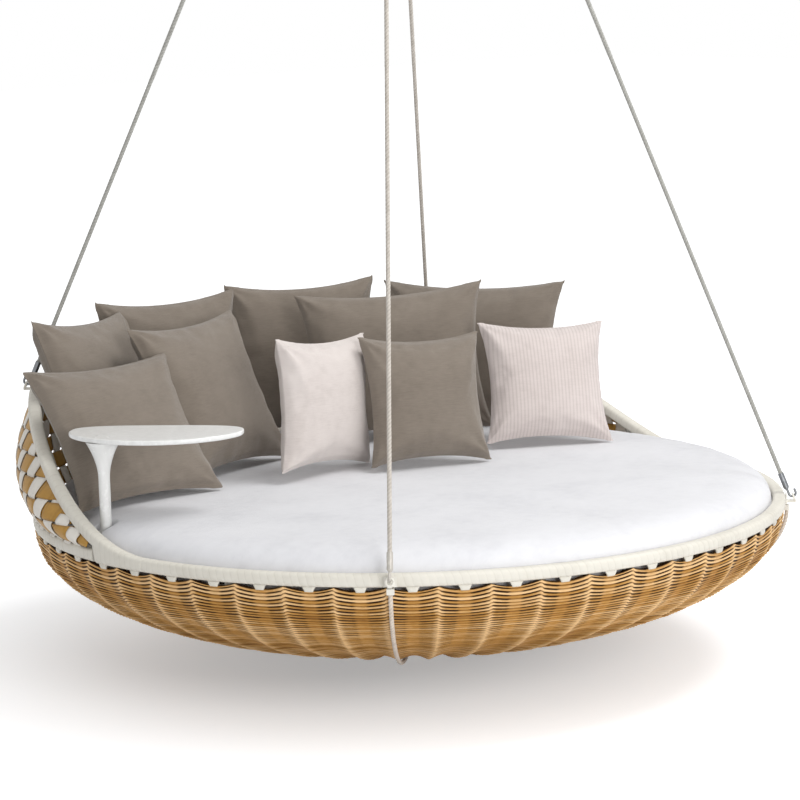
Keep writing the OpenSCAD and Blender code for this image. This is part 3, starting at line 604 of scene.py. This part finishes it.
def woven_bowl():
    rng = np.random.default_rng(4)
    near = [0.0, 0.09, 0.18, 0.28, 0.38, 0.46, 0.5, 0.54, 0.62, 0.72, 0.82, 0.91]
    middle = [0.0, 0.11, 0.24, 0.37, 0.46, 0.5, 0.54, 0.63, 0.76, 0.89]
    far = [0.0, 0.2, 0.42, 0.5, 0.58, 0.8]
    crisp, plain = [0.0, 0.10, 0.28, 0.5, 0.72, 0.90], [0.0, 0.16, 0.5, 0.84]
    for name, first, last, shares, fine, nodes in (
            ("bowl_upper_strands", 0, 26, near, crisp, ["bowl_weave"]),
            ("bowl_middle_strands", 26, 66, middle, plain, []),
            ("bowl_lower_strands", 66, int(MERIDIAN / STRAND), far, plain, [])):
        dress(bowl_band(name, first, last, shares, fine, rng), BOWL_CORD, "bed", "bowl_cord", *nodes)
    # A flat coil closes the middle of the bottom: rings of cord, 6 mm apart, on a shallow dome.
    reach, cord, around = 0.034, 0.0068, 48
    r = np.repeat(np.linspace(0.0004, reach, 46)[:, None], around, 1)
    angle = np.arange(around) * 2 * np.pi / around
    bead = np.abs(np.sin(np.pi * r / cord))
    low = from_axis(r, angle, BOWL_TOP - BOWL_LOW - 0.0015 - 0.0022 * bead + 0.003 * (r / reach) ** 2)
    high = low[::-1].copy()
    high[..., 2] = BOWL_TOP - BOWL_LOW + BOWL_WALL
    points = np.concatenate([low, high])
    # Painted shade in the grooves between the coil's rings.
    marks = {"valley": np.concatenate([1 - bead, np.zeros_like(r)]) * 0.8,
        "slit": np.zeros(len(points) * around), "strand": np.full(len(points) * around, -0.05)}
    dress(make_piece("bowl_centre_coil", *tubes([points]), marks), BOWL_CORD, "bed", "bowl_cord")


woven_bowl()


# ---- strap-wound rims ----

def soft_power(value, power):
    return np.sign(value) * np.abs(value) ** power


STRAP_WIDTH, SEAM_DIP = 0.021, 0.0004


def wound_rim(name, start, end, lift, drop, node):
    """Sleeve along the rim from one angle to another, both counted from the back. Its section is a squared
    ellipse, and each turn of strap dips by 0.4 mm at its seams, which lean a little."""
    turns = int(round(math.radians(abs(end - start)) * RIM_RADIUS / STRAP_WIDTH))
    share = np.array([0.0, 0.10, 0.5, 0.90])
    place = np.append((np.arange(turns)[:, None] + share).ravel(), turns) / turns
    angle = start + (end - start) * place
    around = 28
    round_it = (np.arange(around) + 0.5) * 2 * np.pi / around
    x = RIM_HALF_WIDTH * soft_power(np.cos(round_it), 0.62)
    y = RIM_HALF_HEIGHT * soft_power(np.sin(round_it), 0.62)
    lean = 0.9 * np.sin(round_it) * STRAP_WIDTH * 0.35 / RIM_RADIUS
    q = np.append(np.tile(share, turns), 0.0)
    proud = np.interp(q, [0.0, 0.10, 0.5, 0.90, 1.0], [0.0, 1.0, 0.85, 0.65, 0.0])
    # The sleeve keeps inside the solid's outline.
    shrink = (proud[:, None] - 1.0) * SEAM_DIP
    deg = angle[:, None] + np.degrees(lean) * np.minimum(1, np.minimum(place, 1 - place) * 60)[:, None]
    r = RIM_RADIUS + x * (1 + shrink / RIM_HALF_WIDTH)
    z = RIM_LEVEL + lift(deg) + y * (1 + shrink / RIM_HALF_HEIGHT) - np.where(y < 0, drop(angle)[:, None], 0.0)
    # Painted shade along the seams, where the strap dips.
    seam = np.repeat((1 - proud)[:, None], around, 1) ** 2
    piece = make_piece(name, *tubes([from_back(r, deg, z)]), {"seam": seam})
    dress(piece, PALE_STRAP, "bed", "pale_strap", node)


def rims():
    # Where the level band has ended, the back's winding reaches down and binds both tubes.
    both = lambda deg: np.where(np.abs(deg) > BAND_REACH + 0.3, rise(deg), 0.0)
    wound_rim("front_rim_winding", BACK_REACH, 360 - BACK_REACH, np.zeros_like, np.zeros_like, "rim_wrap_front")
    wound_rim("back_rim_winding", -BACK_REACH, BACK_REACH, rise, both, "rim_wrap_back")
    wound_rim("level_band_winding", -BAND_REACH, BAND_REACH, np.zeros_like, np.zeros_like, "lower_band")


rims()


TIE_TOP, TIE_DROP = -1.6395, 0.0144


def ties():
    """Pale loops that hold the bowl to the rim: rounded blocks, 24 mm wide, that widen to 38 mm at the top.
    Each runs down from the rim's bottom over the first strand."""
    u, around = np.linspace(-1, 1, 9), 14
    ring = (np.arange(around) + 0.5) * 2 * np.pi / around
    wide = 0.0120 + 0.0070 * ((1 - u) / 2) ** 1.4
    deep = 0.0052 - 0.0012 * np.clip(u, 0, 1) ** 2
    out = BOWL_RADIUS - 0.004 - 0.0012 * u ** 2 + 0.0006
    x = out[:, None] + deep[:, None] * soft_power(np.cos(ring), 0.55)
    y = wide[:, None] * soft_power(np.sin(ring), 0.55)
    z = np.repeat((TIE_TOP - TIE_DROP / 2 * (1 + u))[:, None], around, 1)
    loops = []
    for k in range(FLUTES):
        a = math.radians(FIRST_TIE + 360.0 * k / FLUTES)
        c, s = math.cos(a), math.sin(a)
        loops.append(np.stack([x * c - y * s, x * s + y * c, z], -1))
    points, quads, caps = tubes(loops)
    piece = make_piece("rim_tie_loops", points, quads, caps, {"seam": np.zeros(len(points))})
    dress(piece, PALE_STRAP, "bed", "pale_strap", "rim_ties")


ties()


# ---- chequered back ----

WEAVE_COLUMNS, WEAVE_ROWS = 55, 7
WEAVE_LOW, WEAVE_BELLY = 0.0186, 0.045
ROW_PITCH, COLUMN_PITCH_DEG = 0.0505, 2 * WEAVE_REACH / WEAVE_COLUMNS
WEAVE_MIDDLE = 0.0132       # from the rim's middle outwards
STRAP_HALF, STRAP_RING = 0.0012, 10     # half a strap's thickness, points round it
CROSSING = 0.0023                       # how far a strap moves in and out as it crosses


def weave_surface(deg, z, out):
    """Point of the back's cloth: it bellies out by 45 mm * sin(180 t) between the band and the rim."""
    high = rise(deg) - 0.020
    t = np.clip((z - WEAVE_LOW) / np.maximum(high - WEAVE_LOW, 1e-4), 0, 1)
    r = RIM_RADIUS + WEAVE_MIDDLE + WEAVE_BELLY * np.sin(np.pi * t) * smooth(rise(deg) / 0.2) + out
    return from_back(r, deg, RIM_LEVEL + z)


def strap_shell(centre_deg, centre_z, half_deg, half_z, out):
    """Flat strap with rounded edges: lines across it run out on the top face and back on the bottom one. It
    also gives a mark for painted shade along its edges.
    """
    ring = (np.arange(STRAP_RING) + 0.5) * 2 * np.pi / STRAP_RING
    x, y = soft_power(np.cos(ring), 0.8), soft_power(np.sin(ring), 0.7)
    deg = (centre_deg + 0 * centre_z)[:, None] + np.multiply.outer(half_deg, x)
    z = centre_z[:, None] + np.multiply.outer(half_z, x)
    n = out[:, None] + STRAP_HALF * y * (1 - 0.25 * np.abs(x) ** 3)
    # The last value is a painted shade mark on the strap's rounded edges.
    return deg, z, n, np.repeat(np.clip((np.abs(x) - 0.72) / 0.28, 0, 1)[None, :], len(centre_z), 0)


def upright_strap(i):
    """Points and painted shade (at its edges and where it dips under) of a pale strap, or nothing where the rim
    leaves no room for it.
    """
    centre, half = -WEAVE_REACH + COLUMN_PITCH_DEG * (i + 0.5), COLUMN_PITCH_DEG * 0.41
    top = float(rise(centre)) - 0.014
    if top - WEAVE_LOW < 0.012:
        return []
    z = np.linspace(0.012, top, max(6, int((top - 0.012) / 0.0036)))
    wave = np.cos(np.pi * ((z - WEAVE_LOW) / ROW_PITCH - 0.5 + i))
    out = CROSSING * np.tanh(4 * (wave - 0.05)) + 0.0004
    deg, z, n, edge = strap_shell(centre, z, half, 0.0, out)
    n = n + 0.0010 * np.clip(wave, 0, 1)[:, None] * (1 - ((deg - centre) / half) ** 2)
    # Painted shade where the strap passes from over to under a level strap.
    dark = 0.25 * np.clip(0.35 - np.abs(wave), 0, 1)[:, None]
    return [(weave_surface(deg, z, n), np.clip(edge * 0.5 + dark, 0, 1).ravel())]


def level_strap(j):
    """Points and painted shade (at its edges and beside each crossing) of an ochre strap, which goes as far
    round as the rim stands over it.
    """
    low = WEAVE_LOW + ROW_PITCH * j
    reach = max(d for d in np.linspace(0, WEAVE_REACH + 2, 600) if float(rise(d)) - 0.018 > low + 0.004)
    deg = np.linspace(-reach, reach, int(2 * reach / COLUMN_PITCH_DEG * 14))
    high = np.minimum(low + ROW_PITCH * 0.95, rise(deg) - 0.014)
    base = np.minimum(low + ROW_PITCH * 0.03, high - 0.001)
    wave = np.cos(np.pi * ((deg + WEAVE_REACH) / COLUMN_PITCH_DEG - 0.5 + j))
    out = -CROSSING * np.tanh(4 * (wave - 0.10))
    deg, z, n, edge = strap_shell(deg, (high + base) / 2, 0.0, (high - base) / 2, out)
    # Painted shade beside each crossing, where the pale straps pass over and under.
    dark = 0.35 * np.clip(1 - np.abs(np.abs(wave) - 0.30) / 0.30, 0, 1)[:, None]
    return [(weave_surface(deg, z, n), np.clip(edge * 0.5 + dark, 0, 1).ravel())]


def chequered_back():
    """Plain weave: a strap's middle moves 2.3 mm out and in as it crosses, upright and level straps in
    turn. The upright ones are pale and narrow, the level ones ochre and wide, cut off by the sloping rim."""
    pale = sum((upright_strap(i) for i in range(WEAVE_COLUMNS)), [])
    ochre = sum((level_strap(j) for j in range(WEAVE_ROWS)), [])
    for name, straps, finish, slot, nodes in (
            ("back_pale_straps", pale, PALE_WEFT, "pale_strap", []),
            ("back_ochre_straps", ochre, OCHRE_STRAP, "chequered_strap", ["back_weave"])):
        # The edge marks carry the painted shade of both kinds of strap.
        edge_shades = np.concatenate([edge for _, edge in straps])
        piece = make_piece(name, *tubes([grid for grid, _ in straps]), {"edge": edge_shades})
        dress(piece, finish, "bed", slot, *nodes)


chequered_back()


# ---- mattress ----

def mattress_half(r):
    """Half thickness of the mattress at a distance from its middle: full, then rounded off at the edge."""
    share = np.clip(r, 0, MATTRESS_RADIUS) / MATTRESS_RADIUS
    return np.clip(1 - share ** MATTRESS_CROWN, 0, None) ** MATTRESS_ROUND * MATTRESS_HEIGHT / 2


def mattress_top(r):
    return MATTRESS_TOP - MATTRESS_HEIGHT / 2 + mattress_half(r)


def round_mattress():
    """Closed pad on polar lines. Its outline draws in round the table's post, where it is rounded over
    20 mm, and its faces roll by a few millimetres in slow waves. Small tucks run in from the seam halfway
    up its side."""
    turn = math.atan2(POST_AT[1], POST_AT[0])
    base = np.linspace(-np.pi, np.pi, 541)[:-1]
    fine = np.linspace(-0.050, 0.050, 71)
    off = np.sort(np.concatenate([base[np.abs(base) > 0.053], fine]))
    far = float(np.linalg.norm(POST_AT))
    inside = np.where(np.abs(off) < 0.1, np.clip(NOTCH ** 2 - (far * np.sin(off)) ** 2, 0, None), 0.0)
    near = far * np.cos(off) - np.sqrt(inside)
    edge = np.where(inside > 0, np.minimum(near, MATTRESS_RADIUS - 0.001), MATTRESS_RADIUS - 0.001)
    angle = off + turn
    lines = 64
    t = 1 - (1 - np.linspace(0, 1, lines)) ** 2.2
    share = np.concatenate([t * 0.9995 + 0.0004, (t * 0.9995 + 0.0004)[::-1]])
    face = np.concatenate([np.ones(lines), -np.ones(lines)])
    # Rings are even circles up to nine tenths of the radius; only those outside it give way to the notch.
    even, plain = 0.9, MATTRESS_RADIUS - 0.001
    outer = np.clip((share - even) / (1 - even), 0, 1)[:, None]
    r = np.minimum(share, even)[:, None] * plain + outer * (edge - even * plain)
    x, y = r * np.cos(angle), r * np.sin(angle)
    half = mattress_half(r)
    # Round the notch the pad thins as 1 - (1 - d / 20 mm)^6, where d is the distance from the notch.
    gap = np.hypot(x - POST_AT[0], y - POST_AT[1]) - NOTCH
    half = half * np.clip(1 - np.clip(1 - gap / NOTCH_ROUND, 0, 1) ** 6, 0, 1) ** MATTRESS_ROUND
    wave = 0.0022 * np.sin(3.1 * x + 1.3) * np.sin(2.7 * y + 0.4) + 0.0014 * np.sin(7.3 * x - 4.1 * y + 2.0) \
        + 0.0010 * np.sin(11.0 * y + 5.0 * x)
    rim = np.clip((r / MATTRESS_RADIUS - 0.88) / 0.08, 0, 1)
    tuck = 0.0014 * rim * (np.sin(61 * angle + 2 * np.sin(5 * angle)) * np.sin(23 * angle) * 0.6
        + np.sin(37 * angle + 1.0) * 0.4)
    lift = np.where(face[:, None] > 0, wave - 0.0046 + tuck, 0.0004)
    z = MATTRESS_TOP - MATTRESS_HEIGHT / 2 + face[:, None] * half + lift * (half / 0.085)
    # A shallow recess in the lower face keeps it off the post's foot.
    foot = MATTRESS_TOP - MATTRESS_HEIGHT + 0.0085 * smooth((0.072 - NOTCH - gap) / 0.008)
    z = np.where(face[:, None] < 0, np.maximum(z, foot), z)
    points = np.stack([x, y, z], -1)
    mattress = make_piece("round_mattress", *tubes([points]), vectors={"cover": points})
    dress(mattress, MATTRESS_CLOTH, "bed", "mattress_cloth", "mattress")
    # Piping on the seam round the side, 4.8 mm thick.
    path = from_axis(edge + 0.0002, angle, MATTRESS_TOP - MATTRESS_HEIGHT / 2)
    ahead = np.roll(path, -1, 0) - np.roll(path, 1, 0)
    ahead /= np.linalg.norm(ahead, axis=1)[:, None]
    out = np.cross(ahead, [0, 0, 1.0])
    ring = np.arange(8) * 2 * np.pi / 8
    across = np.cos(ring)[None, :, None] * out[:, None, :] + np.sin(ring)[None, :, None] * np.array([0, 0, 1.0])
    pts = path[:, None, :] + 0.0024 * across
    piping = make_piece("mattress_piping", pts, grid_quads(len(path), 8, close_rows=True, close_cols=True),
        vectors={"cover": pts})
    dress(piping, MATTRESS_CLOTH, "bed", "mattress_cloth")


round_mattress()


# ---- cushions ----

# Width, height and thickness. A cushion's row then gives its foot's angle from +X and its distance from the
# mattress's edge, the way that it faces, its lean and its roll.
SQUARE, WIDE, MIDDLING, SMALL = (0.50, 0.49, 0.15), (0.60, 0.47, 0.15), (0.50, 0.45, 0.14), (0.40, 0.39, 0.13)
DRAW_IN, SEAM = 0.115, 0.006
CUSHIONS = {
    "cushion_a": (SQUARE, 138, 0.238, -65, 20, -4, TAUPE, "taupe_cloth"),
    "cushion_b": (MIDDLING, 164.5, 0.258, -90, 35, 0, TAUPE, "taupe_cloth"),
    "cushion_c": (SQUARE, 127.5, 0.548, -75, 25, 0, TAUPE, "taupe_cloth"),
    "cushion_d": (SQUARE, 107.5, 0.230, -95, 5, 0, TAUPE, "taupe_cloth"),
    "cushion_e": (SQUARE, 72, 0.249, -110, 5, 0, TAUPE, "taupe_cloth"),
    "cushion_f": (WIDE, 51.5, 0.483, -120, 10, 2, TAUPE, "taupe_cloth"),
    "cushion_g": (WIDE, 36, 0.179, -145, 15, 0, TAUPE, "taupe_cloth"),
    "cushion_h": (SMALL, 130, 0.825, -80, 5, -4, BEIGE, "beige_cloth"),
    "cushion_i": (SMALL, 9.5, 0.937, -105, 15, -2, TAUPE, "taupe_cloth"),
    "cushion_j": (SMALL, 2, 0.449, -120, 25, -2, STRIPED, "striped_cloth")}
FACE_CELLS = 40
SWELL_FRAMES, EVEN_FACE, PRESSURE, SWELL_CAP = 20, 0.009, 4.0, 0.010


def cushion_flat(size, u, v, face, fill=1.0):
    """Cushion in its own frame: x = w/2 u (1 - d (1 - v^2)), y likewise, and a crown
    n = t/2 ((1 - u^2)(1 - v^2))^0.45 over half the seam's thickness."""
    w, h, t = size
    x = w / 2 * u * (1 - DRAW_IN * (1 - v * v))
    y = h / 2 * v * (1 - DRAW_IN * (1 - u * u))
    n = face * (fill * t / 2 * np.clip((1 - u * u) * (1 - v * v), 0, None) ** 0.45 + SEAM / 2)
    return np.stack(np.broadcast_arrays(x, y, n), -1)


def stand(points, size, x, y, facing, lean, roll):
    """Rolls a cushion in its plane, leans it back on its lower edge and turns it to face its way."""
    f, l, r = (math.radians(k) for k in (facing, lean, roll))
    a = points[..., 0] * math.cos(r) - points[..., 1] * math.sin(r)
    b = points[..., 0] * math.sin(r) + points[..., 1] * math.cos(r) + size[1] / 2
    out = points[..., 2] * math.cos(l) - b * math.sin(l)
    up = points[..., 2] * math.sin(l) + b * math.cos(l)
    return np.stack([x - a * math.sin(f) + out * math.cos(f), y + a * math.cos(f) + out * math.sin(f), up], -1)


def resting_height(size, *place):
    """How far a cushion is lifted so that it just stands on the mattress."""
    grid = np.linspace(-1, 1, 11)
    u, v = np.meshgrid(grid, grid)
    z = -9.0
    for face in (1, -1):
        p = stand(cushion_flat(size, u, v, face), size, *place)
        z = max(z, float((mattress_top(np.hypot(p[..., 0], p[..., 1])) - p[..., 2]).max()))
    return z + 0.0003


def cushion_shell(size, fill):
    """Both faces of a cushion on one closed grid: the front's rows, then the back's in reverse order."""
    n = FACE_CELLS
    grid = np.sin(np.linspace(-np.pi / 2, np.pi / 2, n + 1))
    u, v = np.meshgrid(grid, grid, indexing="xy")
    front, back = cushion_flat(size, u, v, 1, fill), cushion_flat(size, u, v, -1, fill)
    points = np.concatenate([front.reshape(-1, 3), back.reshape(-1, 3)])
    m = (n + 1) ** 2
    quads = grid_quads(n + 1, n + 1)
    loop = np.concatenate([np.arange(n), np.arange(n) * (n + 1) + n, (n + 1) * n + np.arange(n, 0, -1),
        np.arange(n, 0, -1) * (n + 1)])
    after = np.roll(loop, -1)
    sides = np.stack([loop, after, after + m, loop + m], -1)
    return points, np.concatenate([quads, quads[:, ::-1] + m, sides[:, ::-1]])


def places(mesh):
    """A mesh's points."""
    flat = np.empty(len(mesh.vertices) * 3)
    mesh.vertices.foreach_get("co", flat)
    return flat.reshape(-1, 3)


def worked_out(piece):
    """A piece with its modifiers worked out."""
    return piece.evaluated_get(bpy.context.evaluated_depsgraph_get())


def blow_up(source):
    """Cloth simulation of a closed cover under a little pressure, with no weight: the cover is remeshed,
    swells, and each point's way is held under a cap. Gives its mesh after one subdivision."""
    remesh = source.modifiers.new("even faces", "REMESH")
    remesh.mode, remesh.voxel_size = "VOXEL", EVEN_FACE
    even = bpy.data.meshes.new_from_object(worked_out(source))
    cover = show("cover_at_work_even", even)
    before = places(even)
    cloth = cover.modifiers.new("swell", "CLOTH")
    settings = cloth.settings
    settings.use_pressure, settings.uniform_pressure_force = True, PRESSURE
    settings.effector_weights.gravity = 0.0
    settings.quality, settings.mass = 5, 0.25
    settings.tension_stiffness = settings.compression_stiffness = 12.0
    settings.shear_stiffness, settings.bending_stiffness = 4.0, 0.35
    cloth.point_cache.frame_start, cloth.point_cache.frame_end = 1, SWELL_FRAMES
    for number in range(1, SWELL_FRAMES + 1):
        bpy.context.scene.frame_set(number)
    way = places(worked_out(cover).to_mesh()) - before
    length = np.linalg.norm(way, axis=1)[:, None]
    held = before + way * np.minimum(1, SWELL_CAP / np.maximum(length, 1e-9))
    cover.modifiers.clear()
    even.vertices.foreach_set("co", held.ravel())
    finer = cover.modifiers.new("finer", "SUBSURF")
    finer.levels = finer.render_levels = 1
    final = bpy.data.meshes.new_from_object(worked_out(cover))
    bpy.context.scene.frame_set(1)
    bpy.data.objects.remove(cover)
    return final


def finish_cushion(points, size, seed):
    """Works on a cushion's own frame: a flattened seam line, tucks that run in from the corners and seams,
    and a slow lean of the filling, each a few millimetres."""
    w, h, _ = size
    rng = np.random.default_rng(seed)
    x, y, n = points[:, 0], points[:, 1], points[:, 2]
    u, v = np.clip(2 * x / w, -1, 1), np.clip(2 * y / h, -1, 1)
    edge_u = w / 2 * (1 - DRAW_IN * (1 - v * v)) - np.abs(x)
    edge_v = h / 2 * (1 - DRAW_IN * (1 - u * u)) - np.abs(y)
    edge = np.clip(np.minimum(edge_u, edge_v), 0, None)
    knife = 1 - 0.62 * np.exp(-(edge / 0.0075) ** 2)
    tuck = np.zeros_like(x)
    for sx in (-1, 1):
        for sy in (-1, 1):
            dx, dy = w / 2 * 0.98 - sx * x, h / 2 * 0.98 - sy * y
            d, turn = np.hypot(dx, dy), np.arctan2(dy, dx)
            waves = rng.integers(9, 13)
            tuck += 0.0030 * np.exp(-((d - 0.055) / 0.060) ** 2) * np.cos(waves * turn + rng.uniform(0, 6)) \
                * smooth(edge / 0.02)
    phases = rng.uniform(0, 6.28, 6)
    for k in range(3):
        for side, wave in ((edge_v, (60 + 23 * k) * x + phases[k]),
                (edge_u, (57 + 21 * k) * y + phases[k + 3])):
            tuck += 0.0009 * np.exp(-(side / 0.035) ** 2) * np.sin(wave) * smooth(edge / 0.01)
    full = smooth(edge / 0.08)
    dent = 0.004 * full * np.sin(2.2 * u + phases[0]) * np.sin(1.9 * v + phases[1])
    out = n * knife + np.sign(n) * tuck + dent
    return np.stack([x, y, out], -1)


def scatter_cushions():
    """Each cushion is made in its own frame, blown up, finished, and stood at its foot on the mattress."""
    for number, (name, (size, way, inset, facing, lean, roll, finish, slot)) in enumerate(CUSHIONS.items()):
        foot = turned(MATTRESS_RADIUS - inset, way)
        place = (foot[0], foot[1], facing, lean, roll)
        lift = resting_height(size, *place)
        # A slacker cover, which the swelling fills.
        work = make_piece("cover_at_work", *cushion_shell(size, 0.86 - 0.02 * (number % 3)))
        mesh = blow_up(work)
        bpy.data.objects.remove(work)
        flat = places(mesh)
        # The even faces cut the corners a little, so the cover is drawn back out to its own width and height.
        flat[:, :2] *= np.array(size[:2]) / 2 / np.abs(flat[:, :2]).max(0)
        flat = finish_cushion(flat, size, 20 + number)
        world = stand(flat, size, *place)
        world[:, 2] += lift
        # Where a cushion would press into the mattress, it flattens on it.
        floor = mattress_top(np.hypot(world[:, 0], world[:, 1])) + 0.0002
        world[:, 2] = np.maximum(world[:, 2], floor)
        mesh.vertices.foreach_set("co", world.ravel())
        mesh.update()
        mesh.polygons.foreach_set("use_smooth", np.ones(len(mesh.polygons), bool))
        layer = mesh.attributes.new("cover", "FLOAT_VECTOR", "POINT")
        layer.data.foreach_set("vector", flat.astype(np.float32).ravel())
        piece = show("scatter_" + name, mesh)
        dress(piece, finish, "bed", slot, name)


scatter_cushions()


# ---- side table ----

TABLE_HALF, TABLE_FAR, TABLE_NEAR = 0.245, 0.095, 0.170      # half its length, its depth on either side
TABLE_SHIFT, TABLE_TURN = (0.130, 0.091), -48
TABLE_LEVEL, TABLE_THICK = -1.311, 0.014
UPPER_ROUND, LOWER_ROUND = 0.004, 0.005


def table_top():
    """Leaf-shaped slab: a nearly straight far side, a deep near one and pointed ends. Its edge turns over in
    two quarter rounds."""
    n = 96
    t = np.linspace(0, np.pi, n + 1)
    far = np.stack([TABLE_HALF * soft_power(np.cos(t), 0.62), TABLE_FAR * np.sin(t).clip(0) ** 0.62], -1)
    t = np.linspace(np.pi, 2 * np.pi, n + 1)[1:-1]
    near = np.stack([TABLE_HALF * np.cos(t), TABLE_NEAR * soft_power(np.sin(t), 1.2)], -1)
    outline = np.concatenate([far, near])
    ahead = np.roll(outline, -1, 0) - np.roll(outline, 1, 0)
    normal = np.stack([ahead[:, 1], -ahead[:, 0]], -1)
    normal /= np.linalg.norm(normal, axis=1)[:, None]
    low = TABLE_LEVEL - TABLE_THICK + 0.0003
    quarter = np.linspace(0, np.pi / 2, 6)
    inset = np.concatenate([LOWER_ROUND * (1 - np.sin(quarter)), UPPER_ROUND * (1 - np.cos(quarter))])
    level = np.concatenate([low + LOWER_ROUND * (1 - np.cos(quarter)),
        TABLE_LEVEL - UPPER_ROUND * (1 - np.sin(quarter))])
    ring = outline - inset[:, None, None] * normal
    x, y = ring[..., 0] + TABLE_SHIFT[0], ring[..., 1] + TABLE_SHIFT[1]
    a = math.radians(TABLE_TURN)
    points = np.stack([POST_AT[0] + x * math.cos(a) - y * math.sin(a),
        POST_AT[1] + x * math.sin(a) + y * math.cos(a), np.repeat(level[:, None], ring.shape[1], 1)], -1)
    piece = make_piece("side_table_top", *tubes([points]))
    # The slab's two faces stay flat; only the quads of its edge are smooth.
    piece.data.polygons.foreach_set("use_smooth", np.array([len(f.vertices) == 4 for f in piece.data.polygons]))
    dress(piece, TABLE_PAINT, "table", "table_paint", "table_top")


table_top()


# ---- finishes of the solids that show as they are ----

def finish_solids():
    """Gives every solid the finish of the first start that its name has, or else the frame's paint."""
    ways = (("ceiling", STEEL), ("rope_eye", FITTING_STEEL), ("rim_hook_fl", PALE_STEEL),
        ("rim_hook", DARK_STEEL), ("rim_bracket", PALE_PAINT), ("sling_lugs", PALE_PAINT),
        ("bracket_screws", PALE_PAINT), ("socket_screws", SCREW_STEEL), ("table_screws", TABLE_PAINT),
        ("deck_bearers", BEARER_WOOD), ("deck_", DECK_WOOD), ("table_socket", SOCKET_PAINT),
        ("table_post", TABLE_PAINT))
    for name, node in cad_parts.items():
        finish = next((f for start, f in ways if name.startswith(start)), FRAME_PAINT)
        if not node.material_slots:
            node.data.materials.append(finish)
        for slot in node.material_slots:
            slot.material = finish


finish_solids()


# ---- floor, light and background ----

FLOOR_LEVEL, FLOOR_REACH = -2.1, 30
SHADE_MIDDLE = (0.1, 0.6, FLOOR_LEVEL)


def white_for_camera(tree, plain, seen):
    """A value that is one for light and another for what camera, gloss and glass see."""
    path = tree.nodes.new("ShaderNodeLightPath").outputs
    any_ray = sums(tree, "MAXIMUM", path["Is Camera Ray"], sums(tree, "MAXIMUM", path["Is Glossy Ray"],
        path["Is Transmission Ray"]))
    return spread(tree, any_ray, 0.0, 1.0, plain, seen)


def studio():
    scene = bpy.context.scene
    corners = [(x * FLOOR_REACH, y * FLOOR_REACH, FLOOR_LEVEL) for x, y in ((-1, -1), (1, -1), (1, 1), (-1, 1))]
    floor = make_piece("studio_floor", corners, np.array([[0, 1, 2, 3]]))
    material, tree, shader, place = start_finish("studio floor", 0.95, specular=0.0)
    shader.inputs["Base Color"].default_value = (0.85, 0.86, 0.88, 1)
    shader.inputs["Emission Color"].default_value = (1, 1, 1, 1)
    # What the camera sees of the floor glows more away from a point under the bed, up to the backdrop's white;
    # the weaker glow near that point paints a shadow under the bed over the lit one.
    away = wire(tree, "ShaderNodeVectorMath", {0: place, 1: SHADE_MIDDLE}, operation="DISTANCE")
    seen = spread(tree, away.outputs["Value"], 0.7, 1.9, 0.33, 0.66)
    tree.links.new(white_for_camera(tree, 0.0, seen), shader.inputs["Emission Strength"])
    floor.data.materials.append(material)

    world = bpy.data.worlds.new("studio")
    scene.world = world
    world.use_nodes = True
    tree = world.node_tree
    sky = tree.nodes["Background"]
    sky.inputs[0].default_value = (1, 1, 1, 1)
    tree.links.new(white_for_camera(tree, 0.60, 1.0), sky.inputs[1])

    for name, place, size, power in (("overhead_softbox", (1.8, -2.0, 3.4), 2.8, 156),
            ("front_softbox", (-1.6, -5.5, -0.3), 2.6, 122)):
        light = bpy.data.lights.new(name, "AREA")
        light.shape, light.size, light.energy = "DISK", size, power
        softbox = show(name, light)
        softbox.location = place
        way = Vector((0, 0, -1.7)) - Vector(place)
        softbox.rotation_euler = way.to_track_quat("-Z", "Y").to_euler()
        softbox.visible_camera = False
    scene.view_settings.view_transform = "Standard"


studio()
